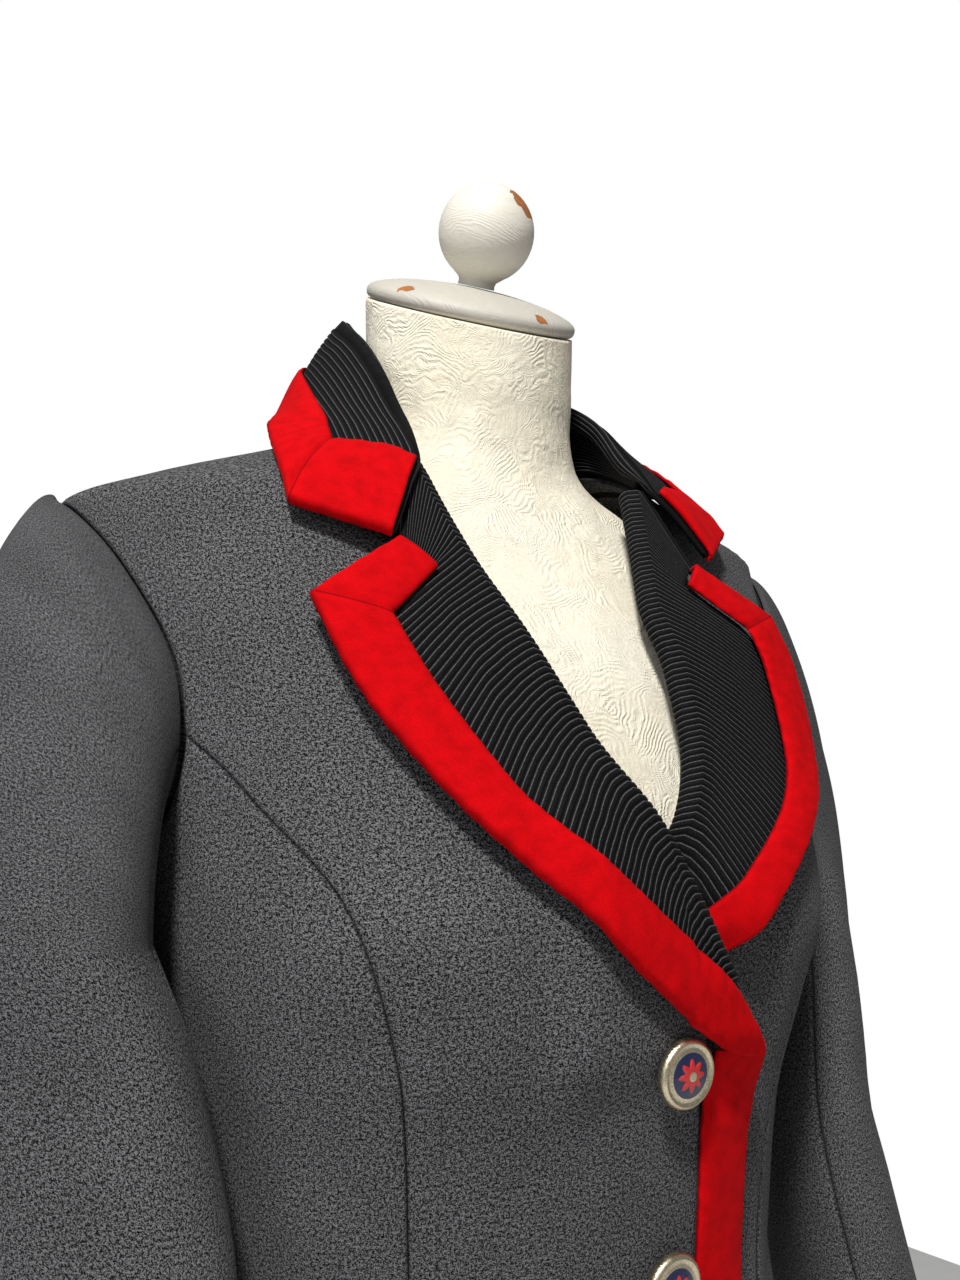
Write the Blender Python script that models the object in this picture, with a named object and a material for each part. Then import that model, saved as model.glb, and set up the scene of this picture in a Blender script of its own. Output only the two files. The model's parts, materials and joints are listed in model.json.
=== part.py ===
"""A single-breasted wool coat with a ribbed notched collar and velvet edges, worn by a dress form.

Lengths are in metres. The front faces -Y, the wearer's right is -X and the table is z = 0.
Heights in the tables are measured from the first button, which sits BUTTON_HEIGHT above the table.
"""

import math

import bpy
import numpy as np
from mathutils import Vector
from mathutils.bvhtree import BVHTree

BUTTON_HEIGHT = 0.690
WOOL = 0.0022
SEAM = 0.0003
ARMPIT = 0.082
SHOULDER_TIP = 0.232
NECK_SIDE = 0.276
HEM = -0.540
SHOULDER_DROP = 0.010
ROLL_WIDTH = 0.0045
OVERHANG = 0.0023
ARMHOLE_FRONT = math.radians(29)
ARMHOLE_BACK = math.radians(28)
BUST = {"rise": 0.014, "across": 0.088, "height": 0.045, "wide": 0.052, "tall": 0.055}
BLADE = {"rise": 0.008, "across": 0.085, "height": 0.120, "wide": 0.060, "tall": 0.090}

# height, half_width, front, back, centre_y, squareness, centre_x
COAT_SECTIONS = (
    (-0.540, 0.206, 0.140, 0.150, 0.000, 0.98, 0.000),
    (-0.430, 0.193, 0.131, 0.138, 0.000, 0.98, -0.002),
    (-0.325, 0.179, 0.122, 0.124, 0.000, 0.99, -0.006),
    (-0.215, 0.156, 0.112, 0.098, 0.000, 1.01, -0.010),
    (-0.110, 0.137, 0.112, 0.078, 0.002, 1.05, -0.012),
    (-0.040, 0.142, 0.122, 0.086, 0.002, 1.05, -0.011),
    (0.010, 0.153, 0.130, 0.092, 0.002, 1.02, -0.009),
    (0.045, 0.164, 0.131, 0.096, 0.002, 0.96, -0.005),
    (0.085, 0.169, 0.125, 0.097, 0.003, 0.93, -0.003),
    (0.150, 0.177, 0.108, 0.092, 0.006, 0.92, -0.005),
    (0.200, 0.185, 0.088, 0.082, 0.009, 0.95, -0.007),
    (0.232, 0.187, 0.075, 0.072, 0.010, 1.00, -0.007),
    (0.246, 0.158, 0.069, 0.066, 0.010, 1.00, -0.005),
    (0.261, 0.112, 0.062, 0.060, 0.010, 1.00, -0.002),
    (0.276, 0.072, 0.054, 0.055, 0.010, 1.00, 0.000),
    (0.290, 0.060, 0.050, 0.050, 0.008, 1.00, 0.000),
)


def smooth(at, places, values):
    """A curve through a table that never overshoots it, read at one place or many."""
    at, x, y = np.asarray(at, float), np.asarray(places, float), np.asarray(values, float)
    step, rise = np.diff(x), np.diff(y) / np.diff(x)
    slope = np.empty_like(y)
    slope[0], slope[-1] = rise[0], rise[-1]
    left, right = rise[:-1], rise[1:]
    same = left * right > 0
    slope[1:-1] = np.where(same, 2 * left * right / np.where(same, left + right, 1), 0)
    i = np.clip(np.searchsorted(x, at) - 1, 0, len(step) - 1)
    t = np.clip((at - x[i]) / step[i], 0, 1)
    return (
        y[i] * (1 + 2 * t) * (1 - t) ** 2
        + slope[i] * step[i] * t * (1 - t) ** 2
        + y[i + 1] * t * t * (3 - 2 * t)
        + slope[i + 1] * step[i] * t * t * (t - 1)
    )


def step(value, start, end):
    """A soft change from 0 to 1 between two values."""
    t = np.clip((value - start) / (end - start), 0, 1)
    return t * t * (3 - 2 * t)


def unit(vectors):
    """Vectors brought to length 1."""
    return vectors / np.linalg.norm(vectors, axis=-1, keepdims=True)


def section(height, table=COAT_SECTIONS):
    """The table's columns after the first, at a height."""
    rows = np.array(table)
    return [smooth(height, rows[:, 0], rows[:, k]) for k in range(1, rows.shape[1])]


def mound(shape, x, height):
    """A soft rise on both sides of the middle."""
    across = (np.abs(x) - shape["across"]) / shape["wide"]
    up = (height - shape["height"]) / shape["tall"]
    return shape["rise"] * np.exp(-across * across - up * up)


def skin(angle, height):
    """The coat's outer surface. The angle is 0 at the front and pi / 2 at the wearer's left side."""
    half, front, back, centre, square, shift = section(height)
    s, c = np.sin(angle), np.cos(angle)
    x = shift + half * s
    depth = np.where(c > 0, front, back)
    y = centre - np.sign(c) * depth * np.abs(c) ** square
    y = y - mound(BUST, x, height) * np.clip(c, 0, 1) ** 0.6
    y = y + mound(BLADE, x, height) * np.clip(-c, 0, 1) ** 0.6
    z = BUTTON_HEIGHT + height - SHOULDER_DROP * step(x, 0.03, 0.12) * step(height, 0.16, 0.235)
    return np.stack(np.broadcast_arrays(x, y, z), axis=-1)


def skin_normal(angle, height):
    """The way out of the coat's surface."""
    turn, rise = 0.01, 0.0005
    along = skin(angle + turn, height) - skin(angle - turn, height)
    up = skin(angle, height + rise) - skin(angle, height - rise)
    out = np.cross(along, up)
    return out / np.linalg.norm(out, axis=-1, keepdims=True)


def angle_at(x, height):
    """The angle on the front where the surface stands this far to the wearer's left."""
    columns = section(height)
    return np.arcsin(np.clip((x - columns[5]) / columns[0], -1, 1))


# The tables of the front use q, the distance from the middle towards the piece's own side.
# height, q
ROLL_LINE = (
    (-0.010, -0.0420),
    (0.000, -0.0392),
    (0.037, -0.0205),
    (0.056, -0.0115),
    (0.079, -0.0030),
    (0.109, 0.0118),
    (0.145, 0.0262),
    (0.169, 0.0352),
    (0.194, 0.0449),
    (0.217, 0.0517),
    (0.243, 0.0580),
)
# roll_height, the row of the trim's table where the pleat ends, how far across the trim, how bent it is
RIB_ENDS = (
    (0.020, 11.5, 0.45, 1.0),
    (0.037, 10.7, 0.50, 1.0),
    (0.060, 9.7, 0.75, 1.0),
    (0.080, 8.8, 1.00, 1.0),
    (0.100, 8.0, 1.00, 1.0),
    (0.120, 7.0, 1.00, 1.0),
    (0.142, 6.0, 1.00, 1.0),
    (0.163, 5.0, 1.00, 0.9),
    (0.180, 4.0, 0.80, 0.6),
    (0.191, 3.0, 0.40, 0.2),
    (0.200, 2.0, 0.14, 0.0),
    (0.204, 0.0, 0.12, 0.0),
    (0.243, 0.0, 1.00, 0.1),
)
# inner_q, inner_height, edge_q, edge_height
LAPEL_TRIM = (
    (0.0655, 0.1885, 0.0785, 0.2030),
    (0.0760, 0.1785, 0.0975, 0.1900),
    (0.0876, 0.1675, 0.1155, 0.1768),
    (0.0835, 0.1550, 0.1100, 0.1570),
    (0.0781, 0.1410, 0.1025, 0.1365),
    (0.0682, 0.1196, 0.0910, 0.1145),
    (0.0570, 0.0980, 0.0780, 0.0930),
    (0.0445, 0.0815, 0.0630, 0.0740),
    (0.0310, 0.0680, 0.0470, 0.0570),
    (0.0165, 0.0555, 0.0295, 0.0400),
    (0.0004, 0.0440, 0.0110, 0.0245),
    (-0.0140, 0.0330, -0.0060, 0.0115),
    (-0.0255, 0.0205, -0.0230, 0.0020),
    (-0.0345, 0.0080, -0.0410, -0.0030),
)
# height, angle in degrees
FRONT_SEAM = (
    (-0.540, 41.0),
    (-0.200, 38.0),
    (-0.070, 36.5),
    (-0.005, 37.2),
    (0.025, 38.9),
    (0.046, 40.7),
    (0.067, 43.3),
    (0.083, 47.0),
    (0.100, 52.1),
    (0.117, 57.1),
    (0.130, 62.5),
)
BACK_SEAM = (
    (-0.540, 132.0),
    (-0.200, 135.0),
    (-0.100, 138.0),
    (0.050, 136.0),
    (0.110, 130.0),
    (0.150, 118.0),
)
# right fold x, y, height, right edge x, y, height, left fold x, y, height, left edge x, y, height
COLLAR = (
    (0.0815, -0.0824, 0.2080, 0.1190, -0.0622, 0.2240, 0.0805, -0.0810, 0.2085, 0.1120, -0.0560, 0.2270),
    (0.0700, -0.0749, 0.2300, 0.1170, -0.0490, 0.2430, 0.0700, -0.0735, 0.2290, 0.1140, -0.0430, 0.2400),
    (0.0610, -0.0660, 0.2480, 0.1140, -0.0338, 0.2570, 0.0620, -0.0650, 0.2450, 0.1130, -0.0290, 0.2500),
    (0.0615, -0.0450, 0.2740, 0.1070, -0.0110, 0.2710, 0.0640, -0.0450, 0.2680, 0.1080, -0.0080, 0.2610),
    (0.0620, -0.0240, 0.3020, 0.0970, 0.0130, 0.2800, 0.0660, -0.0240, 0.2900, 0.1000, 0.0150, 0.2690),
    (0.0620, 0.0040, 0.3290, 0.0830, 0.0390, 0.2910, 0.0660, 0.0040, 0.3080, 0.0890, 0.0400, 0.2760),
    (0.0530, 0.0350, 0.3460, 0.0610, 0.0620, 0.3020, 0.0570, 0.0350, 0.3210, 0.0670, 0.0640, 0.2830),
    (0.0300, 0.0560, 0.3460, 0.0330, 0.0770, 0.3010, 0.0320, 0.0560, 0.3310, 0.0360, 0.0790, 0.2890),
    (0.0000, 0.0620, 0.3390, 0.0000, 0.0830, 0.2950, 0.0000, 0.0620, 0.3390, 0.0000, 0.0830, 0.2950),
)
# How far along the collar each row of its table lies.
COLLAR_PLACES = (0.0, 0.045, 0.09, 0.155, 0.22, 0.29, 0.36, 0.43, 0.5)
# height, distance from the middle, centre_y, half_length, half_width, turn in degrees
RIGHT_SLEEVE = (
    (-0.335, 0.2270, -0.0730, 0.0510, 0.0280, 23.0),
    (-0.240, 0.2090, -0.0590, 0.0560, 0.0290, 27.0),
    (-0.160, 0.1975, -0.0430, 0.0620, 0.0305, 30.0),
    (-0.070, 0.1915, -0.0260, 0.0690, 0.0320, 30.0),
    (0.015, 0.2010, -0.0110, 0.0740, 0.0330, 24.0),
    (0.055, 0.2110, -0.0060, 0.0750, 0.0330, 19.0),
)
LEFT_SLEEVE = (
    (-0.335, 0.2160, -0.0480, 0.0510, 0.0280, 14.0),
    (-0.240, 0.1980, -0.0340, 0.0560, 0.0290, 18.0),
    (-0.160, 0.1860, -0.0180, 0.0620, 0.0305, 21.0),
    (-0.070, 0.1800, -0.0010, 0.0690, 0.0320, 21.0),
    (0.015, 0.1900, 0.0150, 0.0740, 0.0280, 18.0),
    (0.055, 0.1980, 0.0210, 0.0740, 0.0250, 19.0),
)
PANEL_ROWS = (HEM, -0.450, -0.365, -0.285, -0.215, -0.155, -0.110, -0.070)
PANEL_ROWS += (-0.040, -0.012, 0.012, 0.034, 0.055, 0.075, 0.095, 0.113, 0.130)
FRONT_EDGE = 0.0430
BAND_WIDTH = 0.0265
RIBS_LAPEL = 60
RIBS_COLLAR = 10
RIB_RISE = 0.0006
BUTTONS = 6
BUTTON_PITCH = 0.079

MATERIALS = {}


def paint(colour, rough, name):
    """A plain material, made once."""
    if name not in MATERIALS:
        material = bpy.data.materials.new(name)
        material.use_nodes = True
        shader = material.node_tree.nodes["Principled BSDF"]
        shader.inputs["Base Color"].default_value = (*colour, 1)
        shader.inputs["Roughness"].default_value = rough
        shader.inputs["Metallic"].default_value = 1.0 if "brass" in name else 0.0
        MATERIALS[name] = material
    return MATERIALS[name]


def cloth(name):
    """Grey wool for one piece."""
    return paint((0.085, 0.088, 0.094), 0.95, "wool_" + name)


def velvet(name):
    """Red velvet for one piece."""
    return paint((0.70, 0.012, 0.010), 0.85, "velvet_" + name)


def pleats(name):
    """Black pleated cloth for one piece."""
    return paint((0.010, 0.011, 0.013), 0.8, "pleated_" + name)


def add(name, points, faces, material, smooth_shading=True):
    """One closed body as an object, its faces turned to look out."""
    points = np.asarray(points, float)
    volume = 0.0
    for face in faces:
        a = points[face[0]]
        for b, c in zip(face[1:-1], face[2:]):
            volume += np.dot(a, np.cross(points[b], points[c]))
    if volume < 0:
        faces = [tuple(reversed(face)) for face in faces]
    mesh = bpy.data.meshes.new(name)
    mesh.from_pydata([tuple(p) for p in points], [], faces)
    mesh.materials.append(material)
    mesh.polygons.foreach_set("use_smooth", [smooth_shading] * len(faces))
    mesh.update()
    thing = bpy.data.objects.new(name, mesh)
    bpy.context.scene.collection.objects.link(thing)
    return thing


def bridge(points, first, second):
    """Triangles between two chains of corners that run side by side, along the shorter diagonals."""
    faces, i, j = [], 0, 0
    m, n = len(first) - 1, len(second) - 1

    def span(a, b):
        return np.linalg.norm(points[a] - points[b])

    while i < m or j < n:
        if j == n or (i < m and span(first[i + 1], second[j]) <= span(first[i], second[j + 1])):
            faces.append((first[i], first[i + 1], second[j]))
            i += 1
        else:
            faces.append((first[i], second[j + 1], second[j]))
            j += 1
    return faces


def wall(name, outer, inner, material, closed=False):
    """A closed wall between an outer and an inner grid; closed joins its last column to its first."""
    m, n = outer.shape[:2]
    p, q = inner.shape[:2]
    points = np.concatenate([outer.reshape(-1, 3), inner.reshape(-1, 3)])
    out = np.arange(m * n).reshape(m, n)
    into = np.arange(p * q).reshape(p, q) + m * n
    if closed:
        out = np.concatenate([out, out[:, :1]], axis=1)
        into = np.concatenate([into, into[:, :1]], axis=1)
    faces = []
    for a in range(out.shape[0] - 1):
        for b in range(out.shape[1] - 1):
            faces.append((out[a, b], out[a, b + 1], out[a + 1, b + 1], out[a + 1, b]))
    for a in range(into.shape[0] - 1):
        for b in range(into.shape[1] - 1):
            faces.append((into[a, b], into[a + 1, b], into[a + 1, b + 1], into[a, b + 1]))
    faces += [tuple(reversed(face)) for face in bridge(points, out[0], into[0])]
    faces += bridge(points, out[-1], into[-1])
    if not closed:
        faces += bridge(points, out[:, 0], into[:, 0])
        faces += [tuple(reversed(face)) for face in bridge(points, out[:, -1], into[:, -1])]
    faces = [tuple(int(k) for k in face) for face in faces]
    return add(name, points, faces, material)


def right_lift(x, height):
    """The right front stands out where the left lapel lies under it."""
    return 0.0064 * step(x, -0.060, -0.036) * step(height, -0.020, 0.012) * (1 - step(height, 0.086, 0.125))


def left_lift(x, height):
    """The left front sinks in where the right front covers it."""
    return -0.0042 * (1 - step(x, 0.051, 0.074)) * (1 - step(height, 0.100, 0.150))


def belly(height):
    """The left lapel rolls a little wider than the right one, with its peak drawn in."""
    return 0.016 * np.exp(-(((height - 0.105) / 0.05) ** 2)) - 0.007 * step(height, 0.150, 0.185)


def roll_q(height, side):
    """The roll line of one lapel."""
    table = np.array(ROLL_LINE)
    q = smooth(height, table[:, 0], table[:, 1]) + ROLL_WIDTH
    return q + belly(height) if side > 0 else q


def covered(q, height):
    """1 where the left lapel lies under the right front, 0 where it is clear of it."""
    table = np.array(ROLL_LINE)
    edge = -smooth(height, table[:, 0], table[:, 1])
    return 1 - step(q - edge, 0.0035, 0.024)


def lapel_lift(q, height, side):
    """How far the lapel's outer face stands off the coat."""
    away = np.clip((q - roll_q(height, side)) / 0.075, 0, 1)
    lift = 0.0070 * (0.4 + 0.6 * step(height, 0.0, 0.035)) + 0.0055 * away**1.5
    if side < 0:
        return lift + right_lift(-q, height)
    hidden = covered(q, height)
    return lift * (1 - hidden) - 0.0012 * hidden


def front_point(q, height, lift, side):
    """A point over one front."""
    angle = angle_at(side * q, height)
    return skin(angle, height) + lift[..., None] * skin_normal(angle, height)


def flat_patch(start, end, high, calm):
    """A grid of (angle, height) pairs between two side rows of points; the top row bends it above a row."""
    start, end, high = (np.array(row, float) for row in (start, end, high))
    across = np.linspace(0, 1, len(high))[None, :, None]
    bend = high - (1 - across[0]) * high[0] - across[0] * high[-1]
    share = np.clip((np.arange(len(start)) - calm) / (len(start) - 1 - calm), 0, 1)
    return (1 - across) * start[:, None] + across * end[:, None] + share[:, None, None] * bend


def stretched(heights, end):
    """The panel rows with the part above the waist drawn out or in to end at another height."""
    waist = -0.10
    return [h if h < waist else waist + (h - waist) * (end - waist) / (heights[-1] - waist) for h in heights]


def seam_points(table, heights):
    """Points of a panel seam at the given heights."""
    rows = np.array(table)
    return [(math.radians(a), h) for a, h in zip(smooth(heights, rows[:, 0], rows[:, 1]), heights)]


def armhole_points(start, end, reach, count, sign):
    """Points of the armhole's edge between two heights, in front for -1 and behind for +1."""
    middle, half = (SHOULDER_TIP + ARMPIT) / 2, (SHOULDER_TIP - ARMPIT) / 2
    first = math.asin(max(-1, min(1, (start - middle) / half)))
    last = math.asin(max(-1, min(1, (end - middle) / half)))
    turns = np.linspace(first, last, count)
    return [(math.pi / 2 + sign * reach * math.cos(t), middle + half * math.sin(t)) for t in turns]


def shrink(grid, gap=SEAM / 2):
    """Pull the rim of a grid of points inwards along its own surface by half a seam gap."""
    grid = grid.copy()
    for edge, inner in ((grid[0], grid[1]), (grid[-1], grid[-2])):
        edge += unit(inner - edge) * gap
    for edge, inner in ((grid[:, 0], grid[:, 1]), (grid[:, -1], grid[:, -2])):
        edge += unit(inner - edge) * gap
    return grid


def thinned(grid):
    """Every second column of a grid, with its rim kept."""
    return grid[:, sorted({*range(0, grid.shape[1], 2), grid.shape[1] - 1})]


def panel(name, plan, side, lift=None):
    """A body panel over the coat's skin, mirrored for the right side."""
    angle, height = side * plan[..., 0], plan[..., 1]
    away = np.zeros_like(angle) if lift is None else lift(skin(angle, height)[..., 0], height)
    normal = skin_normal(angle, height)
    outer = skin(angle, height) + away[..., None] * normal
    outer = shrink(outer)
    wall(name, outer, thinned(outer - WOOL * normal), cloth(name))


def neck_height(angle):
    """The height of the coat's neck edge: it climbs from the roll over the side of the neck to the back."""
    start = float(angle_at(0.058, 0.243))
    front = 0.243 + 0.033 * np.sin(np.clip((angle - start) / (np.pi / 2 - start), 0, 1) * np.pi / 2)
    back = 0.284 - 0.008 * np.clip((np.pi - angle) / (np.pi / 2), 0, 1) ** 2
    return np.where(angle < np.pi / 2, front, back)


def neck_points(start, end, count):
    """Points of the neck edge between two angles."""
    return [(a, float(neck_height(a))) for a in np.linspace(start, end, count)]


def make_body():
    """The eight body panels."""
    for side, word in ((-1, "right"), (1, "left")):
        lift = right_lift if side < 0 else left_lift
        front_seam = seam_points(FRONT_SEAM, PANEL_ROWS)
        back_seam = seam_points(BACK_SEAM, stretched(PANEL_ROWS, 0.150))
        side_seam = [(math.pi / 2, h) for h in stretched(PANEL_ROWS, ARMPIT)]
        shoulder = [(math.pi / 2, h) for h in np.linspace(NECK_SIDE, SHOULDER_TIP, 6)]
        front_hole = armhole_points(0.130, SHOULDER_TIP, ARMHOLE_FRONT, 7, -1)
        back_hole = armhole_points(0.150, SHOULDER_TIP, ARMHOLE_BACK, 7, 1)

        edge = []
        for h in [p[1] for p in front_seam] + list(np.linspace(0.130, 0.243, 7)[1:]):
            q = -FRONT_EDGE if h < -0.012 else roll_q(h, side)
            edge.append((float(angle_at(q, h)), h))
        neck = neck_points(edge[-1][0], math.pi / 2, 7)
        plan = flat_patch(edge, front_seam + front_hole[1:], neck + shoulder[1:], len(front_seam) - 2)
        panel("front_" + word, plan, side, lift)

        hole = armhole_points(0.130, ARMPIT, ARMHOLE_FRONT, 5, -1)
        plan = flat_patch(front_seam, side_seam, hole, 10)
        panel("side_front_" + word, plan, side)

        hole = armhole_points(ARMPIT, 0.150, ARMHOLE_BACK, 5, 1)
        plan = flat_patch(side_seam, back_seam, hole, 10)
        panel("side_back_" + word, plan, side)

        heights = [p[1] for p in back_seam] + list(np.linspace(0.150, 0.284, 7)[1:])
        middle = [(math.pi, h) for h in heights]
        neck = neck_points(math.pi, math.pi / 2, 5)
        plan = flat_patch(middle, back_seam + back_hole[1:], neck + shoulder[1:], len(back_seam) - 2)
        panel("back_" + word, plan, side)


def sleeve_ring(height, turn, side):
    """A point of the hanging sleeve; the turn is 0 on its outside and a quarter at its front."""
    cx, cy, long, wide, lean = section(height, LEFT_SLEEVE if side > 0 else RIGHT_SLEEVE)
    lean = np.radians(lean)
    out, front = wide * np.cos(turn), long * np.sin(turn)
    x = cx + out * np.cos(lean) - front * np.sin(lean)
    y = cy - front * np.cos(lean) - out * np.sin(lean)
    return np.stack(np.broadcast_arrays(x, y, BUTTON_HEIGHT + height), axis=-1)


def sleeve_surface(turn, down, side):
    """A sleeve's outer face: down runs 0 to 1 over the head and 1 to 2 along the arm."""
    share = np.cos(turn)
    reach = np.where(np.sin(turn) > 0, ARMHOLE_FRONT, ARMHOLE_BACK) - 0.004
    middle, half = (SHOULDER_TIP + ARMPIT) / 2, (SHOULDER_TIP - ARMPIT) / 2 - 0.0008
    angle = np.pi / 2 - reach * np.sin(turn)
    height = middle + half * share
    normal = skin_normal(side * angle, height) * (side, 1, 1)
    start = skin(side * angle, height) * (side, 1, 1) + 0.0006 * normal
    out = normal + np.array([0.3, 0, 0.2]) * np.clip(share, 0, 1)[..., None]
    top, cuff = LEFT_SLEEVE[-1][0], LEFT_SLEEVE[0][0]
    end = sleeve_ring(np.full_like(turn, top), turn, side)
    rise = (share + 1) / 2
    one = start + unit(out) * (0.004 + (0.014 if side < 0 else 0.010) * rise**1.3)[..., None]
    two = end + np.array([0, 0, 1.0]) * (0.006 + 0.105 * rise**1.2)[..., None]
    t = np.clip(down, 0, 1)[..., None]
    head = (1 - t) ** 3 * start + 3 * (1 - t) ** 2 * t * one + 3 * (1 - t) * t * t * two + t**3 * end
    arm = sleeve_ring(top + (cuff - top) * np.clip(down - 1, 0, 1), turn, side)
    return np.where((down <= 1)[..., None], head, arm)


def make_sleeves():
    """A top and an under sleeve on each side, split at the front and back seams."""
    front, back = math.radians(115), math.radians(-105)
    down = np.concatenate([np.linspace(0, 1, 9), np.linspace(1, 2, 7)[1:]])
    for side, word in ((-1, "right"), (1, "left")):
        for name, turns in (
            ("top_sleeve_", np.linspace(back, front, 12)),
            ("under_sleeve_", np.linspace(front, 2 * math.pi + back, 7)),
        ):
            turn, run = np.meshgrid(turns, down)
            outer = sleeve_surface(turn, run, side)
            d = 0.004
            turned_way = sleeve_surface(turn + d, run, side) - sleeve_surface(turn - d, run, side)
            below = sleeve_surface(turn, np.clip(run + d, 0, 2), side)
            normal = unit(np.cross(below - sleeve_surface(turn, np.clip(run - d, 0, 2), side), turned_way))
            normal = normal * np.sign((normal * (outer - outer.mean(axis=1, keepdims=True))).sum())
            outer = shrink(outer)
            inner = outer - WOOL * normal
            outer[..., 0] *= side
            inner[..., 0] *= side
            wall(name + word, outer, thinned(inner), cloth(name + word))


# Steps over the roll of a lapel in mm: across towards the opening, then out from the coat.
ROLL_OUTSIDE = ((3.4, -1.6), (5.2, 1.6), (4.0, 5.2))
ROLL_INSIDE = ((1.4, -1.6), (3.1, 1.9), (2.4, 3.8))
TUCKED_OUTSIDE = ((3.2, -5.6), (4.6, -4.0), (3.4, -2.0))
TUCKED_INSIDE = ((1.2, -5.6), (2.6, -4.3), (1.9, -3.5))


def trim_rows(places, side, short=OVERHANG):
    """The lapel trim's inner line and its shortened edge, read at places between the rows of its table."""
    table, peak = np.array(LAPEL_TRIM), 2
    count = np.arange(len(table), dtype=float)
    rows = []
    for k in range(4):
        above = smooth(places, count[: peak + 1], table[: peak + 1, k])
        below = smooth(places, count[peak:], table[peak:, k])
        rows.append(np.where(places <= peak, above, below))
    rows = np.stack(rows, axis=1)
    if side > 0:
        rows[:, 0] += belly(rows[:, 1])
        rows[:, 2] += belly(rows[:, 3])
    run = rows[:, 2:] - rows[:, :2]
    rows[:, 2:] -= run / np.linalg.norm(run, axis=1, keepdims=True) * short
    return rows


def make_lapel(side, word):
    """The pleated face of one lapel, wrapped round the roll and raised in a fine pleat per row."""
    rows = np.array(RIB_ENDS)
    heights = np.linspace(0.028 if side < 0 else 0.037, 0.2425, 2 * RIBS_LAPEL + 1)

    def sheet(pick, columns, drop):
        h0 = heights[pick][:, None]
        q0 = roll_q(h0, side)
        ends = trim_rows(np.interp(h0[:, 0], rows[:, 0], rows[:, 1]), side, OVERHANG + 0.0019)
        under = np.interp(h0, rows[:, 0], rows[:, 2])
        end = ends[:, :2] + (ends[:, 2:] - ends[:, :2]) * under
        q2, h2 = end[:, :1], end[:, 1:]
        t = np.linspace(0, 1, columns)[None]
        a, b, c = (1 - t) ** 2, 2 * t * (1 - t), t * t
        bend = np.interp(h0, rows[:, 0], rows[:, 3])
        q = a * q0 + b * (q0 + (0.5 - 0.05 * bend) * (q2 - q0)) + c * q2
        h = a * h0 + b * (h0 + (0.5 - 0.38 * bend) * (h2 - h0)) + c * h2
        return front_point(q, h, lapel_lift(q, h, side) + drop, side)

    def rolled(pick, free, tucked):
        h = heights[pick]
        q = roll_q(h, side)
        base = front_point(q, h, np.zeros_like(q), side)
        normal = skin_normal(angle_at(side * q, h), h)
        over = front_point(q - 0.001, h, np.zeros_like(q), side) - base
        over = unit(over - (over * normal).sum(-1, keepdims=True) * normal)
        hidden = covered(q, h)[:, None] if side > 0 else 0.0
        lift = 0.0 if side > 0 else right_lift(-q, h)[:, None]
        points = []
        for (a0, n0), (a1, n1) in zip(free, tucked):
            across, out = a0 + (a1 - a0) * hidden, n0 + (n1 - n0) * hidden
            points.append(base + over * across / 1000 + normal * (out / 1000 + lift))
        return np.stack(points, axis=1)

    every = np.arange(len(heights))
    few = every[::6]
    pleat = np.where(every % 2 == 1, RIB_RISE, 0.0)[:, None] * np.array([1.0, 1.0, 1.0, 1.0, 0.0])
    outer = np.concatenate([rolled(every, ROLL_OUTSIDE, TUCKED_OUTSIDE), sheet(every, 5, pleat)], axis=1)
    inner = np.concatenate([rolled(few, ROLL_INSIDE, TUCKED_INSIDE), sheet(few, 4, -0.002)], axis=1)
    wall("lapel_facing_" + word, outer, inner, pleats("lapel_" + word))


def edged(name, rows, place, material, thick=0.0018, under=0.0010, keep=None):
    """A band along an edge: rows hold its inner line and the edge, in the places that place reads."""
    i, e = rows[:, :2], rows[:, 2:]

    def at(share, lift):
        p = i + (e - i) * share
        return place(p[:, 0], p[:, 1], np.full(len(p), lift))

    rim = at(1.0, 0.0)
    normal = unit(at(1.0, 0.001) - rim)
    out = rim - at(0.85, 0.0)
    out = unit(out - (out * normal).sum(-1, keepdims=True) * normal)
    shares = (0.0, 0.33, 0.67, 0.97)
    puff = (0.0, 0.0003, 0.0004, 0.0)
    outer = [at(s, under + thick + p) for s, p in zip(shares, puff)]
    inner = [at(s, under) for s in (0.0, 0.45, 0.97)]
    for a, n in ((0.0017, 0.0012), (0.0023, -0.0006), (0.0021, -0.0020)):
        outer.append(rim + a * out + n * normal)
    for a, n in ((0.0003, 0.0006), (0.0004, -0.0006), (0.0004, -0.0020)):
        inner.append(rim + a * out + n * normal)
    wall(name, np.stack(outer, axis=1), np.stack(inner, axis=1), material)


def make_lapel_trim(side, word):
    """The velvet band round one lapel, mitred at its peak."""
    last = len(LAPEL_TRIM) - (1 if side < 0 else 3)
    rows = trim_rows(np.linspace(0, last, 2 * last + 1), side)

    def place(q, h, lift):
        return front_point(q, h, lapel_lift(q, h, side) + lift, side)

    edged("lapel_trim_" + word, rows, place, velvet("lapel_" + word), under=0.0017 if side < 0 else 0.0026)


def make_band():
    """The velvet band down the right front's edge."""
    heights = np.array([h for h in PANEL_ROWS if h < -0.013][::-1])
    heights = np.concatenate([[-0.0060], heights])
    heights[-1] += 0.0002
    edge = np.full_like(heights, FRONT_EDGE)
    rows = np.stack([edge - BAND_WIDTH, heights, edge, heights], axis=1)

    def place(x, h, lift):
        angle = angle_at(x, h)
        return skin(angle, h) + (lift + right_lift(x, h))[:, None] * skin_normal(angle, h)

    edged("front_band", rows, place, velvet("front_band"), under=0.0006)


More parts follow.
